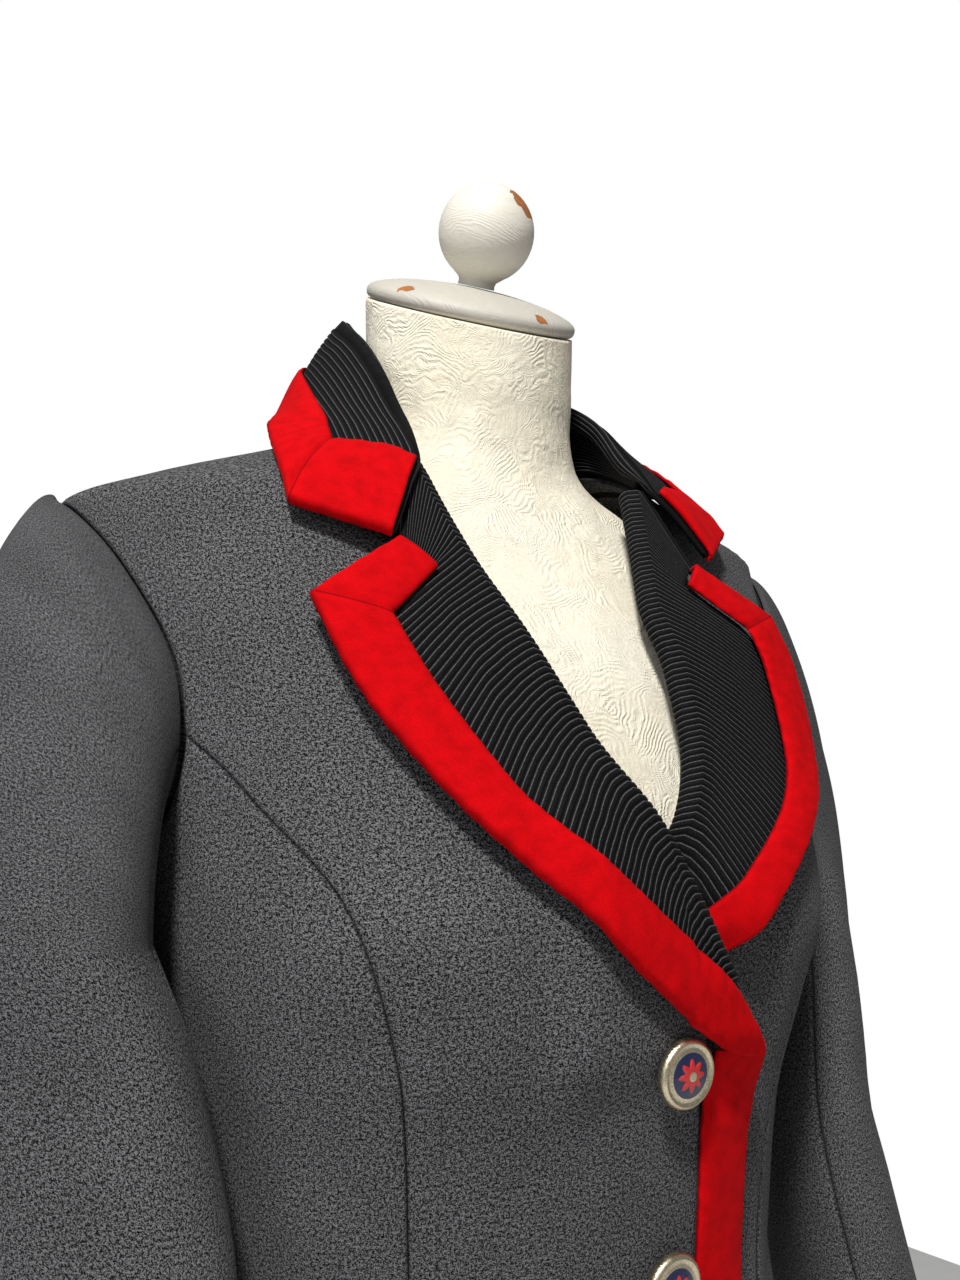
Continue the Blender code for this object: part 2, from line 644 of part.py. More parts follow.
def collar_lines(s):
    """The collar's fold and its edge at places from 0 at the right front to 1 at the left front."""
    table, places = np.array(COLLAR), np.array(COLLAR_PLACES)
    s = np.asarray(s, float)
    near = np.minimum(s, 1 - s)
    offset = np.where(s < 0.5, 0, 6)
    read = np.stack([smooth(near, places, table[:, k]) for k in range(12)], axis=-1)
    lines = np.where((offset == 0)[..., None], read[..., :6], read[..., 6:])
    sign = np.where(s < 0.5, -1.0, 1.0)
    fold_line, edge_line = lines[..., :3].copy(), lines[..., 3:].copy()
    for line in (fold_line, edge_line):
        line[..., 0] *= sign
        line[..., 2] += BUTTON_HEIGHT
    return fold_line, edge_line


def collar_frame(s):
    """The fold point, the way down the fall, the way out of it and its length."""
    fold_line, edge_line = collar_lines(s)
    d = 0.004
    before, after = collar_lines(np.clip(s - d, 0, 1)), collar_lines(np.clip(s + d, 0, 1))
    run = unit(after[0] + after[1] - before[0] - before[1])
    across = edge_line - fold_line
    length = np.linalg.norm(across, axis=-1, keepdims=True)
    out = unit(np.cross(run, across))
    out = out * np.where(out[..., 2:] < 0, -1, 1)
    return fold_line, across / length, out, length


def collar_point(s, down, lift):
    """A point of the collar's fall: down is 0 at the fold and 1 at the edge."""
    point, across, out, length = collar_frame(s)
    bulge = 0.0045 * np.sin(np.pi * np.clip(down, 0, 1)) * step(np.minimum(s, 1 - s), 0.0, 0.15)
    return point + across * length * down[..., None] + out * (lift + bulge)[..., None]


COLLAR_OUTSIDE = ((5.0, -7.2), (0.0, -7.2), (-3.2, -5.2), (-3.0, -1.6))
COLLAR_INSIDE = ((5.0, -5.2), (0.4, -5.2), (-1.2, -4.2), (-1.0, -2.9))
COLLAR_ROWS = np.concatenate([[0.0, 0.0425], np.linspace(0.085, 0.915, 23), [0.9575, 1.0]])


def make_collar():
    """The collar's fall with its pleats running round the neck, rolled over at the fold."""
    s = COLLAR_ROWS
    few = s[::2]

    def rolled(places, steps, drop):
        point, across, out, length = collar_frame(places)
        grow = step(np.minimum(places, 1 - places), 0.075, 0.15)[:, None]
        points = []
        for k, (a, n) in enumerate(steps):
            flat = across * 0.0002 * k - out * drop
            points.append(point + (across * a + out * n) * grow / 1000 + flat * (1 - grow))
        return np.stack(points, axis=1)

    def fall(places, columns, lifts):
        places, down = np.meshgrid(places, columns, indexing="ij")
        return collar_point(places, down, np.broadcast_to(lifts, places.shape))

    columns = np.linspace(0.03, 0.985, 2 * RIBS_COLLAR + 1)
    pleat = np.where(np.arange(len(columns)) % 2 == 1, RIB_RISE, 0.0)
    outer = np.concatenate([rolled(s, COLLAR_OUTSIDE, 0.0), fall(s, columns, pleat)], axis=1)
    inner = np.concatenate([rolled(few, COLLAR_INSIDE, 0.002), fall(few, columns[::3], -0.002)], axis=1)
    wall("collar", outer, inner, pleats("collar"))


def make_collar_trim():
    """The velvet band round the collar's edge, mitred at both corners."""
    corner = COLLAR_ROWS[2]
    rows = [(corner * 0.9, 0.03, 0.0, 0.03), (corner, 0.2, 0.0, 0.35), (corner, 0.4, 0.0, 0.7)]
    rows += [(corner, 0.60, 0.0, 0.985), (0.095, 0.598, COLLAR_ROWS[1], 0.985), (0.105, 0.595, corner, 0.985)]
    mirrored = [(1 - a, b, 1 - c, d) for a, b, c, d in rows[::-1]]
    for s in COLLAR_ROWS[3:-3]:
        rows.append((s, 0.60 - 0.16 * math.sin(math.pi * s) ** 2, s, 0.985))
    edged("collar_trim", np.array(rows + mirrored), collar_point, velvet("collar"), under=0.0015)


def make_stand():
    """The collar's stand, from the neck edge up into the fold."""
    s = COLLAR_ROWS[4:-4]
    point, across, out, length = collar_frame(s)
    top = point + across * 0.0112 - out * 0.0040
    turn = np.arctan2(point[:, 0], -(point[:, 1] - 0.010))
    low = skin(turn, neck_height(np.abs(turn)) + 0.0012)
    side = unit(np.cross(np.gradient(top, axis=0), top - low))
    rows = [low + (top - low) * t for t in np.linspace(0, 1, 3)]
    outer = np.stack([row + side * 0.0007 for row in rows], axis=1)
    inner = np.stack([row - side * 0.0007 for row in rows], axis=1)
    wall("collar_stand", outer, inner, pleats("collar_stand"))


def make_flap():
    """The small velvet flap of the breast pocket on the wearer's left."""
    u, v = np.meshgrid(np.linspace(0, 1, 9), np.linspace(0, 1, 5), indexing="ij")
    x = 0.082 + 0.058 * u
    h = 0.128 + 0.004 * u - 0.024 * v
    corner = np.clip((np.abs(u - 0.5) - 0.40) / 0.10, 0, 1) * np.clip((v - 0.7) / 0.3, 0, 1)
    h = h + 0.004 * corner
    angle = angle_at(x, h)
    normal = skin_normal(angle, h)
    base = skin(angle, h)
    outer = base + normal * (0.0026 + 0.0012 * np.sin(np.pi * u) * v)[..., None]
    wall("breast_pocket_flap", outer, base + normal * (0.0004 + 0.0012 * np.sin(np.pi * u) * v)[..., None], velvet("flap"))


def turned(name, profile, material, centre, axis, turns=16):
    """A solid turned about an axis; the profile holds (radius, along) and starts and ends on it."""
    centre, axis = np.array(centre, float), unit(np.array(axis, float))
    side = unit(np.cross(axis, (0.0, 0.3, 1.0) if abs(axis[2]) < 0.9 else (1.0, 0.0, 0.0)))
    other = np.cross(axis, side)
    points, rings = [], []
    for radius, level in profile:
        if radius < 1e-6:
            rings.append([len(points)] * turns)
            points.append(centre + axis * level)
            continue
        rings.append(list(range(len(points), len(points) + turns)))
        for k in range(turns):
            a = 2 * math.pi * k / turns
            points.append(centre + axis * level + radius * (math.cos(a) * side + math.sin(a) * other))
    faces = []
    for low, high in zip(rings[:-1], rings[1:]):
        for k in range(turns):
            n = (k + 1) % turns
            face = []
            for corner in (low[k], low[n], high[n], high[k]):
                if corner not in face:
                    face.append(corner)
            if len(face) > 2:
                faces.append(tuple(face))
    return add(name, points, faces, material)


# radius, level above the coat, in mm
BUTTON_PROFILE = (
    (0.0, 0.0),
    (3.0, 0.0),
    (3.0, 3.0),
    (12.2, 3.0),
    (13.0, 5.0),
    (11.6, 7.3),
    (6.0, 8.4),
    (0.0, 8.9),
)


def seat(tree, centre, normal, radius):
    """How far out along the normal a surface comes inside a small circle."""
    side = unit(np.cross(normal, (0.0, 0.0, 1.0)))
    other, best = np.cross(normal, side), -1.0
    for a, b in ((0, 0), (1, 0), (-1, 0), (0, 1), (0, -1)):
        start = centre + radius * (a * side + b * other) + 0.02 * normal
        hit = tree.ray_cast(Vector(start), Vector(-normal), 0.05)
        if hit[0] is not None:
            best = max(best, 0.02 - hit[3])
    return best


def make_buttons():
    """The row of metal buttons on the right front."""
    front = bpy.data.objects["front_right"].data
    corners = [v.co for v in front.vertices]
    tree = BVHTree.FromPolygons(corners, [tuple(face.vertices) for face in front.polygons])
    for k in range(BUTTONS):
        h = -0.002 - BUTTON_PITCH * k
        angle = float(angle_at(0.0, h))
        normal = skin_normal(angle, h)
        lift = seat(tree, skin(angle, h), normal, 0.0031) + SEAM
        profile = [(r / 1000, level / 1000) for r, level in BUTTON_PROFILE]
        brass = paint((0.75, 0.60, 0.32), 0.3, "brass_button_" + str(k + 1))
        turned("button_" + str(k + 1), profile, brass, skin(angle, h) + lift * normal, normal)


# height, half_width, front, back, centre_y, squareness
FORM_SECTIONS = (
    (-0.360, 0.140, 0.092, 0.096, 0.000, 1.00),
    (-0.300, 0.150, 0.100, 0.106, 0.000, 1.00),
    (-0.215, 0.134, 0.097, 0.086, 0.000, 1.00),
    (-0.110, 0.110, 0.096, 0.064, 0.002, 1.04),
    (-0.040, 0.113, 0.107, 0.071, 0.002, 1.04),
    (0.010, 0.126, 0.115, 0.079, 0.002, 1.02),
    (0.045, 0.143, 0.117, 0.083, 0.002, 0.98),
    (0.085, 0.152, 0.112, 0.084, 0.003, 0.95),
    (0.150, 0.158, 0.095, 0.079, 0.006, 0.94),
    (0.195, 0.158, 0.075, 0.068, 0.009, 0.96),
    (0.216, 0.142, 0.065, 0.060, 0.010, 1.00),
    (0.232, 0.113, 0.059, 0.056, 0.010, 1.00),
    (0.248, 0.080, 0.054, 0.052, 0.010, 1.00),
    (0.265, 0.060, 0.052, 0.047, 0.009, 1.00),
    (0.285, 0.0535, 0.0520, 0.0470, 0.006, 1.00),
    (0.310, 0.0530, 0.0530, 0.0490, 0.001, 1.00),
    (0.400, 0.0525, 0.0520, 0.0510, -0.006, 1.00),
)
CAP_CENTRE = (0.004, -0.004, 0.346)
CAP_TILT = math.radians(30)


def form_point(angle, height):
    """The dress form's surface."""
    half, front, back, centre, square = section(height, FORM_SECTIONS)
    s, c = np.sin(angle), np.cos(angle)
    x = half * s
    y = centre - np.sign(c) * np.where(c > 0, front, back) * np.abs(c) ** square
    y = y - mound(BUST, x, height) * np.clip(c, 0, 1) ** 0.6
    x = x + CAP_CENTRE[0] * step(height, 0.24, 0.29)
    return np.stack(np.broadcast_arrays(x, y, BUTTON_HEIGHT + height), axis=-1)


def make_form():
    """The plastered torso, its neck cut off aslant under the wooden cap."""
    turns = np.linspace(0, 2 * math.pi, 24, endpoint=False)
    levels = np.concatenate([np.linspace(-0.360, 0.190, 12), np.linspace(0.208, 0.285, 6)])
    grid = [form_point(turns, np.full_like(turns, h)) for h in levels]
    axis = np.array([0.0, -math.sin(CAP_TILT), math.cos(CAP_TILT)])
    centre = np.array(CAP_CENTRE) + (0, 0, BUTTON_HEIGHT) - axis * 0.0004
    base = grid[-1]
    for share in (0.5, 1.0):
        heights = np.full_like(turns, 0.345)
        for _ in range(12):
            p = form_point(turns, heights)
            heights = heights - ((p - centre) @ axis) / axis[2]
        grid.append(base + (form_point(turns, heights) - base) * share)
    first, last = grid[0].mean(axis=0), grid[-1].mean(axis=0)
    points = np.concatenate([np.concatenate(grid), [first, last]])
    faces, n = [], len(turns)
    for a in range(len(grid) - 1):
        for k in range(n):
            m = (k + 1) % n
            faces.append((a * n + k, a * n + m, (a + 1) * n + m, (a + 1) * n + k))
    for k in range(n):
        m = (k + 1) % n
        faces.append((m, k, len(points) - 2))
        faces.append(((len(grid) - 1) * n + k, (len(grid) - 1) * n + m, len(points) - 1))
    plaster = paint((0.78, 0.74, 0.64), 0.8, "plaster")
    add("dress_form", points, faces, plaster)
    cap = [(0, 0), (0.0500, 0), (0.0536, 0.0016), (0.0540, 0.0050), (0.0490, 0.0088)]
    cap += [(0.0350, 0.0128), (0.0170, 0.0148), (0, 0.0152)]
    white = paint((0.76, 0.73, 0.66), 0.6, "painted_cap")
    top = np.array(CAP_CENTRE) + (0, 0, BUTTON_HEIGHT)
    turned("neck_cap", cap, white, top, axis, 24)
    ball, radius = [(0, 0.0155), (0.0095, 0.0155), (0.0100, 0.0190)], 0.0240
    for k in range(1, 10):
        a = math.radians(-64 + 154 * k / 9)
        ball.append((radius * math.cos(a) if k < 9 else 0.0, 0.0418 + radius * math.sin(a)))
    turned("finial", ball, paint((0.78, 0.75, 0.68), 0.55, "painted_ball"), top, axis, 16)


def make_stand_and_foot():
    """The pole and the round base the dress form stands on."""
    wood = paint((0.20, 0.12, 0.07), 0.5, "wood_pole")
    end = BUTTON_HEIGHT - 0.3604
    turned("pole", [(0, 0.0243), (0.016, 0.0243), (0.016, end), (0, end)], wood, (0, 0, 0), (0, 0, 1), 16)
    wood = paint((0.20, 0.12, 0.07), 0.5, "wood_base")
    foot = [(0, 0), (0.148, 0), (0.150, 0.003), (0.150, 0.013), (0.144, 0.018), (0.060, 0.0225), (0, 0.024)]
    turned("foot_base", foot, wood, (0, 0, 0), (0, 0, 1), 24)


def main():
    """Clear the scene and build every piece."""
    for thing in list(bpy.data.objects):
        bpy.data.objects.remove(thing, do_unlink=True)
    make_body()
    make_sleeves()
    for side, word in ((-1, "right"), (1, "left")):
        make_lapel(side, word)
        make_lapel_trim(side, word)
    make_band()
    make_collar()
    make_collar_trim()
    make_stand()
    make_flap()
    make_buttons()
    make_form()
    make_stand_and_foot()


main()
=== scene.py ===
"""Looks of a grey wool coat with pleated, velvet-edged lapels, worn by a plastered dress form.

Lengths are in metres. The front faces -Y, the wearer's right is -X and the floor is z = 0.
Heights in the tables are measured from the first button.
"""

import json
import math

import bpy
import numpy as np
from mathutils import Matrix, Vector

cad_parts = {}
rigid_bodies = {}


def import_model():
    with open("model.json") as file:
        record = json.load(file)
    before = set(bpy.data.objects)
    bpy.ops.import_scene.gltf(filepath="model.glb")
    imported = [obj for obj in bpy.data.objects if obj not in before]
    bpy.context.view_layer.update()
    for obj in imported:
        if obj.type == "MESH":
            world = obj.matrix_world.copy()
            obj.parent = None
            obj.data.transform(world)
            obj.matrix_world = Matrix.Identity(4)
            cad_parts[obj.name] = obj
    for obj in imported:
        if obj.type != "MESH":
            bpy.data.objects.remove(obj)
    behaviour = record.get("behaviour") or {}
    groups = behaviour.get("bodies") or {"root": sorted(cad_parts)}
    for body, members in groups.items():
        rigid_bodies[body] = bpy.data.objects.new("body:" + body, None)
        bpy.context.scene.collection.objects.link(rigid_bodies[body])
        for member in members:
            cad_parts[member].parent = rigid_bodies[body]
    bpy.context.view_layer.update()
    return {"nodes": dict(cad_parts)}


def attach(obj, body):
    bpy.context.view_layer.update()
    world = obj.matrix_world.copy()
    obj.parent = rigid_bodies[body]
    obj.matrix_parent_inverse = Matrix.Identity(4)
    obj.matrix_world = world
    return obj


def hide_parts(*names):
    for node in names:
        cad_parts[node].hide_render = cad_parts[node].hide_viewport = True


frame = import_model()

bl_info = {
    "name": "Wool coat on a dress form",
    "version": (1, 0, 0),
    "blender": (4, 5, 0),
    "location": "View3D > Sidebar > Coat",
    "description": "Builds a wool coat with pleated lapels and velvet edges over its packed solids",
    "category": "Add Mesh",
}

BUTTON_HEIGHT = 0.690
WOOL = 0.0022
SEAM = 0.0003
ARMPIT = 0.082
SHOULDER_TIP = 0.232
NECK_SIDE = 0.276
HEM = -0.540
SHOULDER_DROP = 0.010
ROLL_WIDTH = 0.0045
OVERHANG = 0.0023
ARMHOLE_FRONT = math.radians(29)
ARMHOLE_BACK = math.radians(28)
BUST = {"rise": 0.014, "across": 0.088, "height": 0.045, "wide": 0.052, "tall": 0.055}
BLADE = {"rise": 0.008, "across": 0.085, "height": 0.120, "wide": 0.060, "tall": 0.090}


# height, half_width, front, back, centre_y, squareness, centre_x
COAT_SECTIONS = (
    (-0.540, 0.206, 0.140, 0.150, 0.000, 0.98, 0.000),
    (-0.430, 0.193, 0.131, 0.138, 0.000, 0.98, -0.002),
    (-0.325, 0.179, 0.122, 0.124, 0.000, 0.99, -0.006),
    (-0.215, 0.156, 0.112, 0.098, 0.000, 1.01, -0.010),
    (-0.110, 0.137, 0.112, 0.078, 0.002, 1.05, -0.012),
    (-0.040, 0.142, 0.122, 0.086, 0.002, 1.05, -0.011),
    (0.010, 0.153, 0.130, 0.092, 0.002, 1.02, -0.009),
    (0.045, 0.164, 0.131, 0.096, 0.002, 0.96, -0.005),
    (0.085, 0.169, 0.125, 0.097, 0.003, 0.93, -0.003),
    (0.150, 0.177, 0.108, 0.092, 0.006, 0.92, -0.005),
    (0.200, 0.185, 0.088, 0.082, 0.009, 0.95, -0.007),
    (0.232, 0.187, 0.075, 0.072, 0.010, 1.00, -0.007),
    (0.246, 0.158, 0.069, 0.066, 0.010, 1.00, -0.005),
    (0.261, 0.112, 0.062, 0.060, 0.010, 1.00, -0.002),
    (0.276, 0.072, 0.054, 0.055, 0.010, 1.00, 0.000),
    (0.290, 0.060, 0.050, 0.050, 0.008, 1.00, 0.000),
)


def smooth(at, places, values):
    """A curve through a table that never overshoots it, read at one place or many."""
    at, x, y = np.asarray(at, float), np.asarray(places, float), np.asarray(values, float)
    step, rise = np.diff(x), np.diff(y) / np.diff(x)
    slope = np.empty_like(y)
    slope[0], slope[-1] = rise[0], rise[-1]
    left, right = rise[:-1], rise[1:]
    same = left * right > 0
    slope[1:-1] = np.where(same, 2 * left * right / np.where(same, left + right, 1), 0)
    i = np.clip(np.searchsorted(x, at) - 1, 0, len(step) - 1)
    t = np.clip((at - x[i]) / step[i], 0, 1)
    return (
        y[i] * (1 + 2 * t) * (1 - t) ** 2
        + slope[i] * step[i] * t * (1 - t) ** 2
        + y[i + 1] * t * t * (3 - 2 * t)
        + slope[i + 1] * step[i] * t * t * (t - 1)
    )


def step(value, start, end):
    """A soft change from 0 to 1 between two values."""
    t = np.clip((value - start) / (end - start), 0, 1)
    return t * t * (3 - 2 * t)


def unit(vectors):
    """Vectors brought to length 1."""
    return vectors / np.linalg.norm(vectors, axis=-1, keepdims=True)


def section(height, table=COAT_SECTIONS):
    """The table's columns after the first, at a height."""
    rows = np.array(table)
    return [smooth(height, rows[:, 0], rows[:, k]) for k in range(1, rows.shape[1])]


def mound(shape, x, height):
    """A soft rise on both sides of the middle."""
    across = (np.abs(x) - shape["across"]) / shape["wide"]
    up = (height - shape["height"]) / shape["tall"]
    return shape["rise"] * np.exp(-across * across - up * up)


def skin(angle, height):
    """The coat's outer surface. The angle is 0 at the front and pi / 2 at the wearer's left side."""
    half, front, back, centre, square, shift = section(height)
    s, c = np.sin(angle), np.cos(angle)
    x = shift + half * s
    depth = np.where(c > 0, front, back)
    y = centre - np.sign(c) * depth * np.abs(c) ** square
    y = y - mound(BUST, x, height) * np.clip(c, 0, 1) ** 0.6
    y = y + mound(BLADE, x, height) * np.clip(-c, 0, 1) ** 0.6
    z = BUTTON_HEIGHT + height - SHOULDER_DROP * step(x, 0.03, 0.12) * step(height, 0.16, 0.235)
    return np.stack(np.broadcast_arrays(x, y, z), axis=-1)


def skin_normal(angle, height):
    """The way out of the coat's surface."""
    turn, rise = 0.01, 0.0005
    along = skin(angle + turn, height) - skin(angle - turn, height)
    up = skin(angle, height + rise) - skin(angle, height - rise)
    out = np.cross(along, up)
    return out / np.linalg.norm(out, axis=-1, keepdims=True)


def angle_at(x, height):
    """The angle on the front where the surface stands this far to the wearer's left."""
    columns = section(height)
    return np.arcsin(np.clip((x - columns[5]) / columns[0], -1, 1))


# The tables of the front use q, the distance from the middle towards the piece's own side.
# height, q
ROLL_LINE = (
    (-0.010, -0.0420),
    (0.000, -0.0392),
    (0.037, -0.0205),
    (0.056, -0.0115),
    (0.079, -0.0030),
    (0.109, 0.0118),
    (0.145, 0.0262),
    (0.169, 0.0352),
    (0.194, 0.0449),
    (0.217, 0.0517),
    (0.243, 0.0580),
)
# roll_height, the row of the trim's table where the pleat ends, how far across the trim, how bent it is
RIB_ENDS = (
    (0.020, 11.5, 0.45, 1.0),
    (0.037, 10.7, 0.50, 1.0),
    (0.060, 9.7, 0.75, 1.0),
    (0.080, 8.8, 1.00, 1.0),
    (0.100, 8.0, 1.00, 1.0),
    (0.120, 7.0, 1.00, 1.0),
    (0.142, 6.0, 1.00, 1.0),
    (0.163, 5.0, 1.00, 0.9),
    (0.180, 4.0, 0.80, 0.6),
    (0.191, 3.0, 0.40, 0.2),
    (0.200, 2.0, 0.14, 0.0),
    (0.204, 0.0, 0.12, 0.0),
    (0.243, 0.0, 1.00, 0.1),
)
# inner_q, inner_height, edge_q, edge_height
LAPEL_TRIM = (
    (0.0655, 0.1885, 0.0785, 0.2030),
    (0.0760, 0.1785, 0.0975, 0.1900),
    (0.0876, 0.1675, 0.1155, 0.1768),
    (0.0835, 0.1550, 0.1100, 0.1570),
    (0.0781, 0.1410, 0.1025, 0.1365),
    (0.0682, 0.1196, 0.0910, 0.1145),
    (0.0570, 0.0980, 0.0780, 0.0930),
    (0.0445, 0.0815, 0.0630, 0.0740),
    (0.0310, 0.0680, 0.0470, 0.0570),
    (0.0165, 0.0555, 0.0295, 0.0400),
    (0.0004, 0.0440, 0.0110, 0.0245),
    (-0.0140, 0.0330, -0.0060, 0.0115),
    (-0.0255, 0.0205, -0.0230, 0.0020),
    (-0.0345, 0.0080, -0.0410, -0.0030),
)
# height, angle in degrees
FRONT_SEAM = (
    (-0.540, 41.0),
    (-0.200, 38.0),
    (-0.070, 36.5),
    (-0.005, 37.2),
    (0.025, 38.9),
    (0.046, 40.7),
    (0.067, 43.3),
    (0.083, 47.0),
    (0.100, 52.1),
    (0.117, 57.1),
    (0.130, 62.5),
)
BACK_SEAM = (
    (-0.540, 132.0),
    (-0.200, 135.0),
    (-0.100, 138.0),
    (0.050, 136.0),
    (0.110, 130.0),
    (0.150, 118.0),
)
# right fold x, y, height, right edge x, y, height, left fold x, y, height, left edge x, y, height
COLLAR = (
    (0.0815, -0.0824, 0.2080, 0.1190, -0.0622, 0.2240, 0.0805, -0.0810, 0.2085, 0.1120, -0.0560, 0.2270),
    (0.0700, -0.0749, 0.2300, 0.1170, -0.0490, 0.2430, 0.0700, -0.0735, 0.2290, 0.1140, -0.0430, 0.2400),
    (0.0610, -0.0660, 0.2480, 0.1140, -0.0338, 0.2570, 0.0620, -0.0650, 0.2450, 0.1130, -0.0290, 0.2500),
    (0.0615, -0.0450, 0.2740, 0.1070, -0.0110, 0.2710, 0.0640, -0.0450, 0.2680, 0.1080, -0.0080, 0.2610),
    (0.0620, -0.0240, 0.3020, 0.0970, 0.0130, 0.2800, 0.0660, -0.0240, 0.2900, 0.1000, 0.0150, 0.2690),
    (0.0620, 0.0040, 0.3290, 0.0830, 0.0390, 0.2910, 0.0660, 0.0040, 0.3080, 0.0890, 0.0400, 0.2760),
    (0.0530, 0.0350, 0.3460, 0.0610, 0.0620, 0.3020, 0.0570, 0.0350, 0.3210, 0.0670, 0.0640, 0.2830),
    (0.0300, 0.0560, 0.3460, 0.0330, 0.0770, 0.3010, 0.0320, 0.0560, 0.3310, 0.0360, 0.0790, 0.2890),
    (0.0000, 0.0620, 0.3390, 0.0000, 0.0830, 0.2950, 0.0000, 0.0620, 0.3390, 0.0000, 0.0830, 0.2950),
)
# How far along the collar each row of its table lies.
COLLAR_PLACES = (0.0, 0.045, 0.09, 0.155, 0.22, 0.29, 0.36, 0.43, 0.5)
# height, distance from the middle, centre_y, half_length, half_width, turn in degrees
RIGHT_SLEEVE = (
    (-0.335, 0.2270, -0.0730, 0.0510, 0.0280, 23.0),
    (-0.240, 0.2090, -0.0590, 0.0560, 0.0290, 27.0),
    (-0.160, 0.1975, -0.0430, 0.0620, 0.0305, 30.0),
    (-0.070, 0.1915, -0.0260, 0.0690, 0.0320, 30.0),
    (0.015, 0.2010, -0.0110, 0.0740, 0.0330, 24.0),
    (0.055, 0.2110, -0.0060, 0.0750, 0.0330, 19.0),
)
LEFT_SLEEVE = (
    (-0.335, 0.2160, -0.0480, 0.0510, 0.0280, 14.0),
    (-0.240, 0.1980, -0.0340, 0.0560, 0.0290, 18.0),
    (-0.160, 0.1860, -0.0180, 0.0620, 0.0305, 21.0),
    (-0.070, 0.1800, -0.0010, 0.0690, 0.0320, 21.0),
    (0.015, 0.1900, 0.0150, 0.0740, 0.0280, 18.0),
    (0.055, 0.1980, 0.0210, 0.0740, 0.0250, 19.0),
)
PANEL_ROWS = (HEM, -0.450, -0.365, -0.285, -0.215, -0.155, -0.110, -0.070)
PANEL_ROWS += (-0.040, -0.012, 0.012, 0.034, 0.055, 0.075, 0.095, 0.113, 0.130)
FRONT_EDGE = 0.0430
BAND_WIDTH = 0.0265
RIBS_LAPEL = 82
RIBS_COLLAR = 18
BUTTONS = 6
BUTTON_PITCH = 0.079
PETALS = 8
RIM_STEPS = 96
ENAMEL_RADIUS = 0.0084


def right_lift(x, height):
    """The right front stands out where the left lapel lies under it."""
    return 0.0064 * step(x, -0.060, -0.036) * step(height, -0.020, 0.012) * (1 - step(height, 0.086, 0.125))


def left_lift(x, height):
    """The left front sinks in where the right front covers it."""
    return -0.0042 * (1 - step(x, 0.051, 0.074)) * (1 - step(height, 0.100, 0.150))


def belly(height):
    """The left lapel rolls a little wider than the right one, with its peak drawn in."""
    return 0.016 * np.exp(-(((height - 0.105) / 0.05) ** 2)) - 0.007 * step(height, 0.150, 0.185)


def roll_q(height, side):
    """The roll line of one lapel."""
    table = np.array(ROLL_LINE)
    q = smooth(height, table[:, 0], table[:, 1]) + ROLL_WIDTH
    return q + belly(height) if side > 0 else q


def covered(q, height):
    """1 where the left lapel lies under the right front, 0 where it is clear of it."""
    table = np.array(ROLL_LINE)
    edge = -smooth(height, table[:, 0], table[:, 1])
    return 1 - step(q - edge, 0.0035, 0.024)


def lapel_lift(q, height, side):
    """How far the lapel's outer face stands off the coat."""
    away = np.clip((q - roll_q(height, side)) / 0.075, 0, 1)
    lift = 0.0070 * (0.4 + 0.6 * step(height, 0.0, 0.035)) + 0.0055 * away**1.5
    if side < 0:
        return lift + right_lift(-q, height)
    hidden = covered(q, height)
    return lift * (1 - hidden) - 0.0012 * hidden


def front_point(q, height, lift, side):
    """A point over one front."""
    angle = angle_at(side * q, height)
    return skin(angle, height) + lift[..., None] * skin_normal(angle, height)


def flat_patch(start, end, high, calm):
    """A grid of (angle, height) pairs between two side rows of points; the top row bends it above a row."""
    start, end, high = (np.array(row, float) for row in (start, end, high))
    across = np.linspace(0, 1, len(high))[None, :, None]
    bend = high - (1 - across[0]) * high[0] - across[0] * high[-1]
    share = np.clip((np.arange(len(start)) - calm) / (len(start) - 1 - calm), 0, 1)
    return (1 - across) * start[:, None] + across * end[:, None] + share[:, None, None] * bend


def stretched(heights, end):
    """The panel rows with the part above the waist drawn out or in to end at another height."""
    waist = -0.10
    return [h if h < waist else waist + (h - waist) * (end - waist) / (heights[-1] - waist) for h in heights]


def seam_points(table, heights):
    """Points of a panel seam at the given heights."""
    rows = np.array(table)
    return [(math.radians(a), h) for a, h in zip(smooth(heights, rows[:, 0], rows[:, 1]), heights)]


def armhole_points(start, end, reach, count, sign):
    """Points of the armhole's edge between two heights, in front for -1 and behind for +1."""
    middle, half = (SHOULDER_TIP + ARMPIT) / 2, (SHOULDER_TIP - ARMPIT) / 2
    first = math.asin(max(-1, min(1, (start - middle) / half)))
    last = math.asin(max(-1, min(1, (end - middle) / half)))
    turns = np.linspace(first, last, count)
    return [(math.pi / 2 + sign * reach * math.cos(t), middle + half * math.sin(t)) for t in turns]


def neck_height(angle):
    """The height of the coat's neck edge: it climbs from the roll over the side of the neck to the back."""
    start = float(angle_at(0.058, 0.243))
    front = 0.243 + 0.033 * np.sin(np.clip((angle - start) / (np.pi / 2 - start), 0, 1) * np.pi / 2)
    back = 0.284 - 0.008 * np.clip((np.pi - angle) / (np.pi / 2), 0, 1) ** 2
    return np.where(angle < np.pi / 2, front, back)


def neck_points(start, end, count):
    """Points of the neck edge between two angles."""
    return [(a, float(neck_height(a))) for a in np.linspace(start, end, count)]


def sleeve_ring(height, turn, side):
    """A point of the hanging sleeve; the turn is 0 on its outside and a quarter at its front."""
    cx, cy, long, wide, lean = section(height, LEFT_SLEEVE if side > 0 else RIGHT_SLEEVE)
    lean = np.radians(lean)
    out, front = wide * np.cos(turn), long * np.sin(turn)
    x = cx + out * np.cos(lean) - front * np.sin(lean)
    y = cy - front * np.cos(lean) - out * np.sin(lean)
    return np.stack(np.broadcast_arrays(x, y, BUTTON_HEIGHT + height), axis=-1)


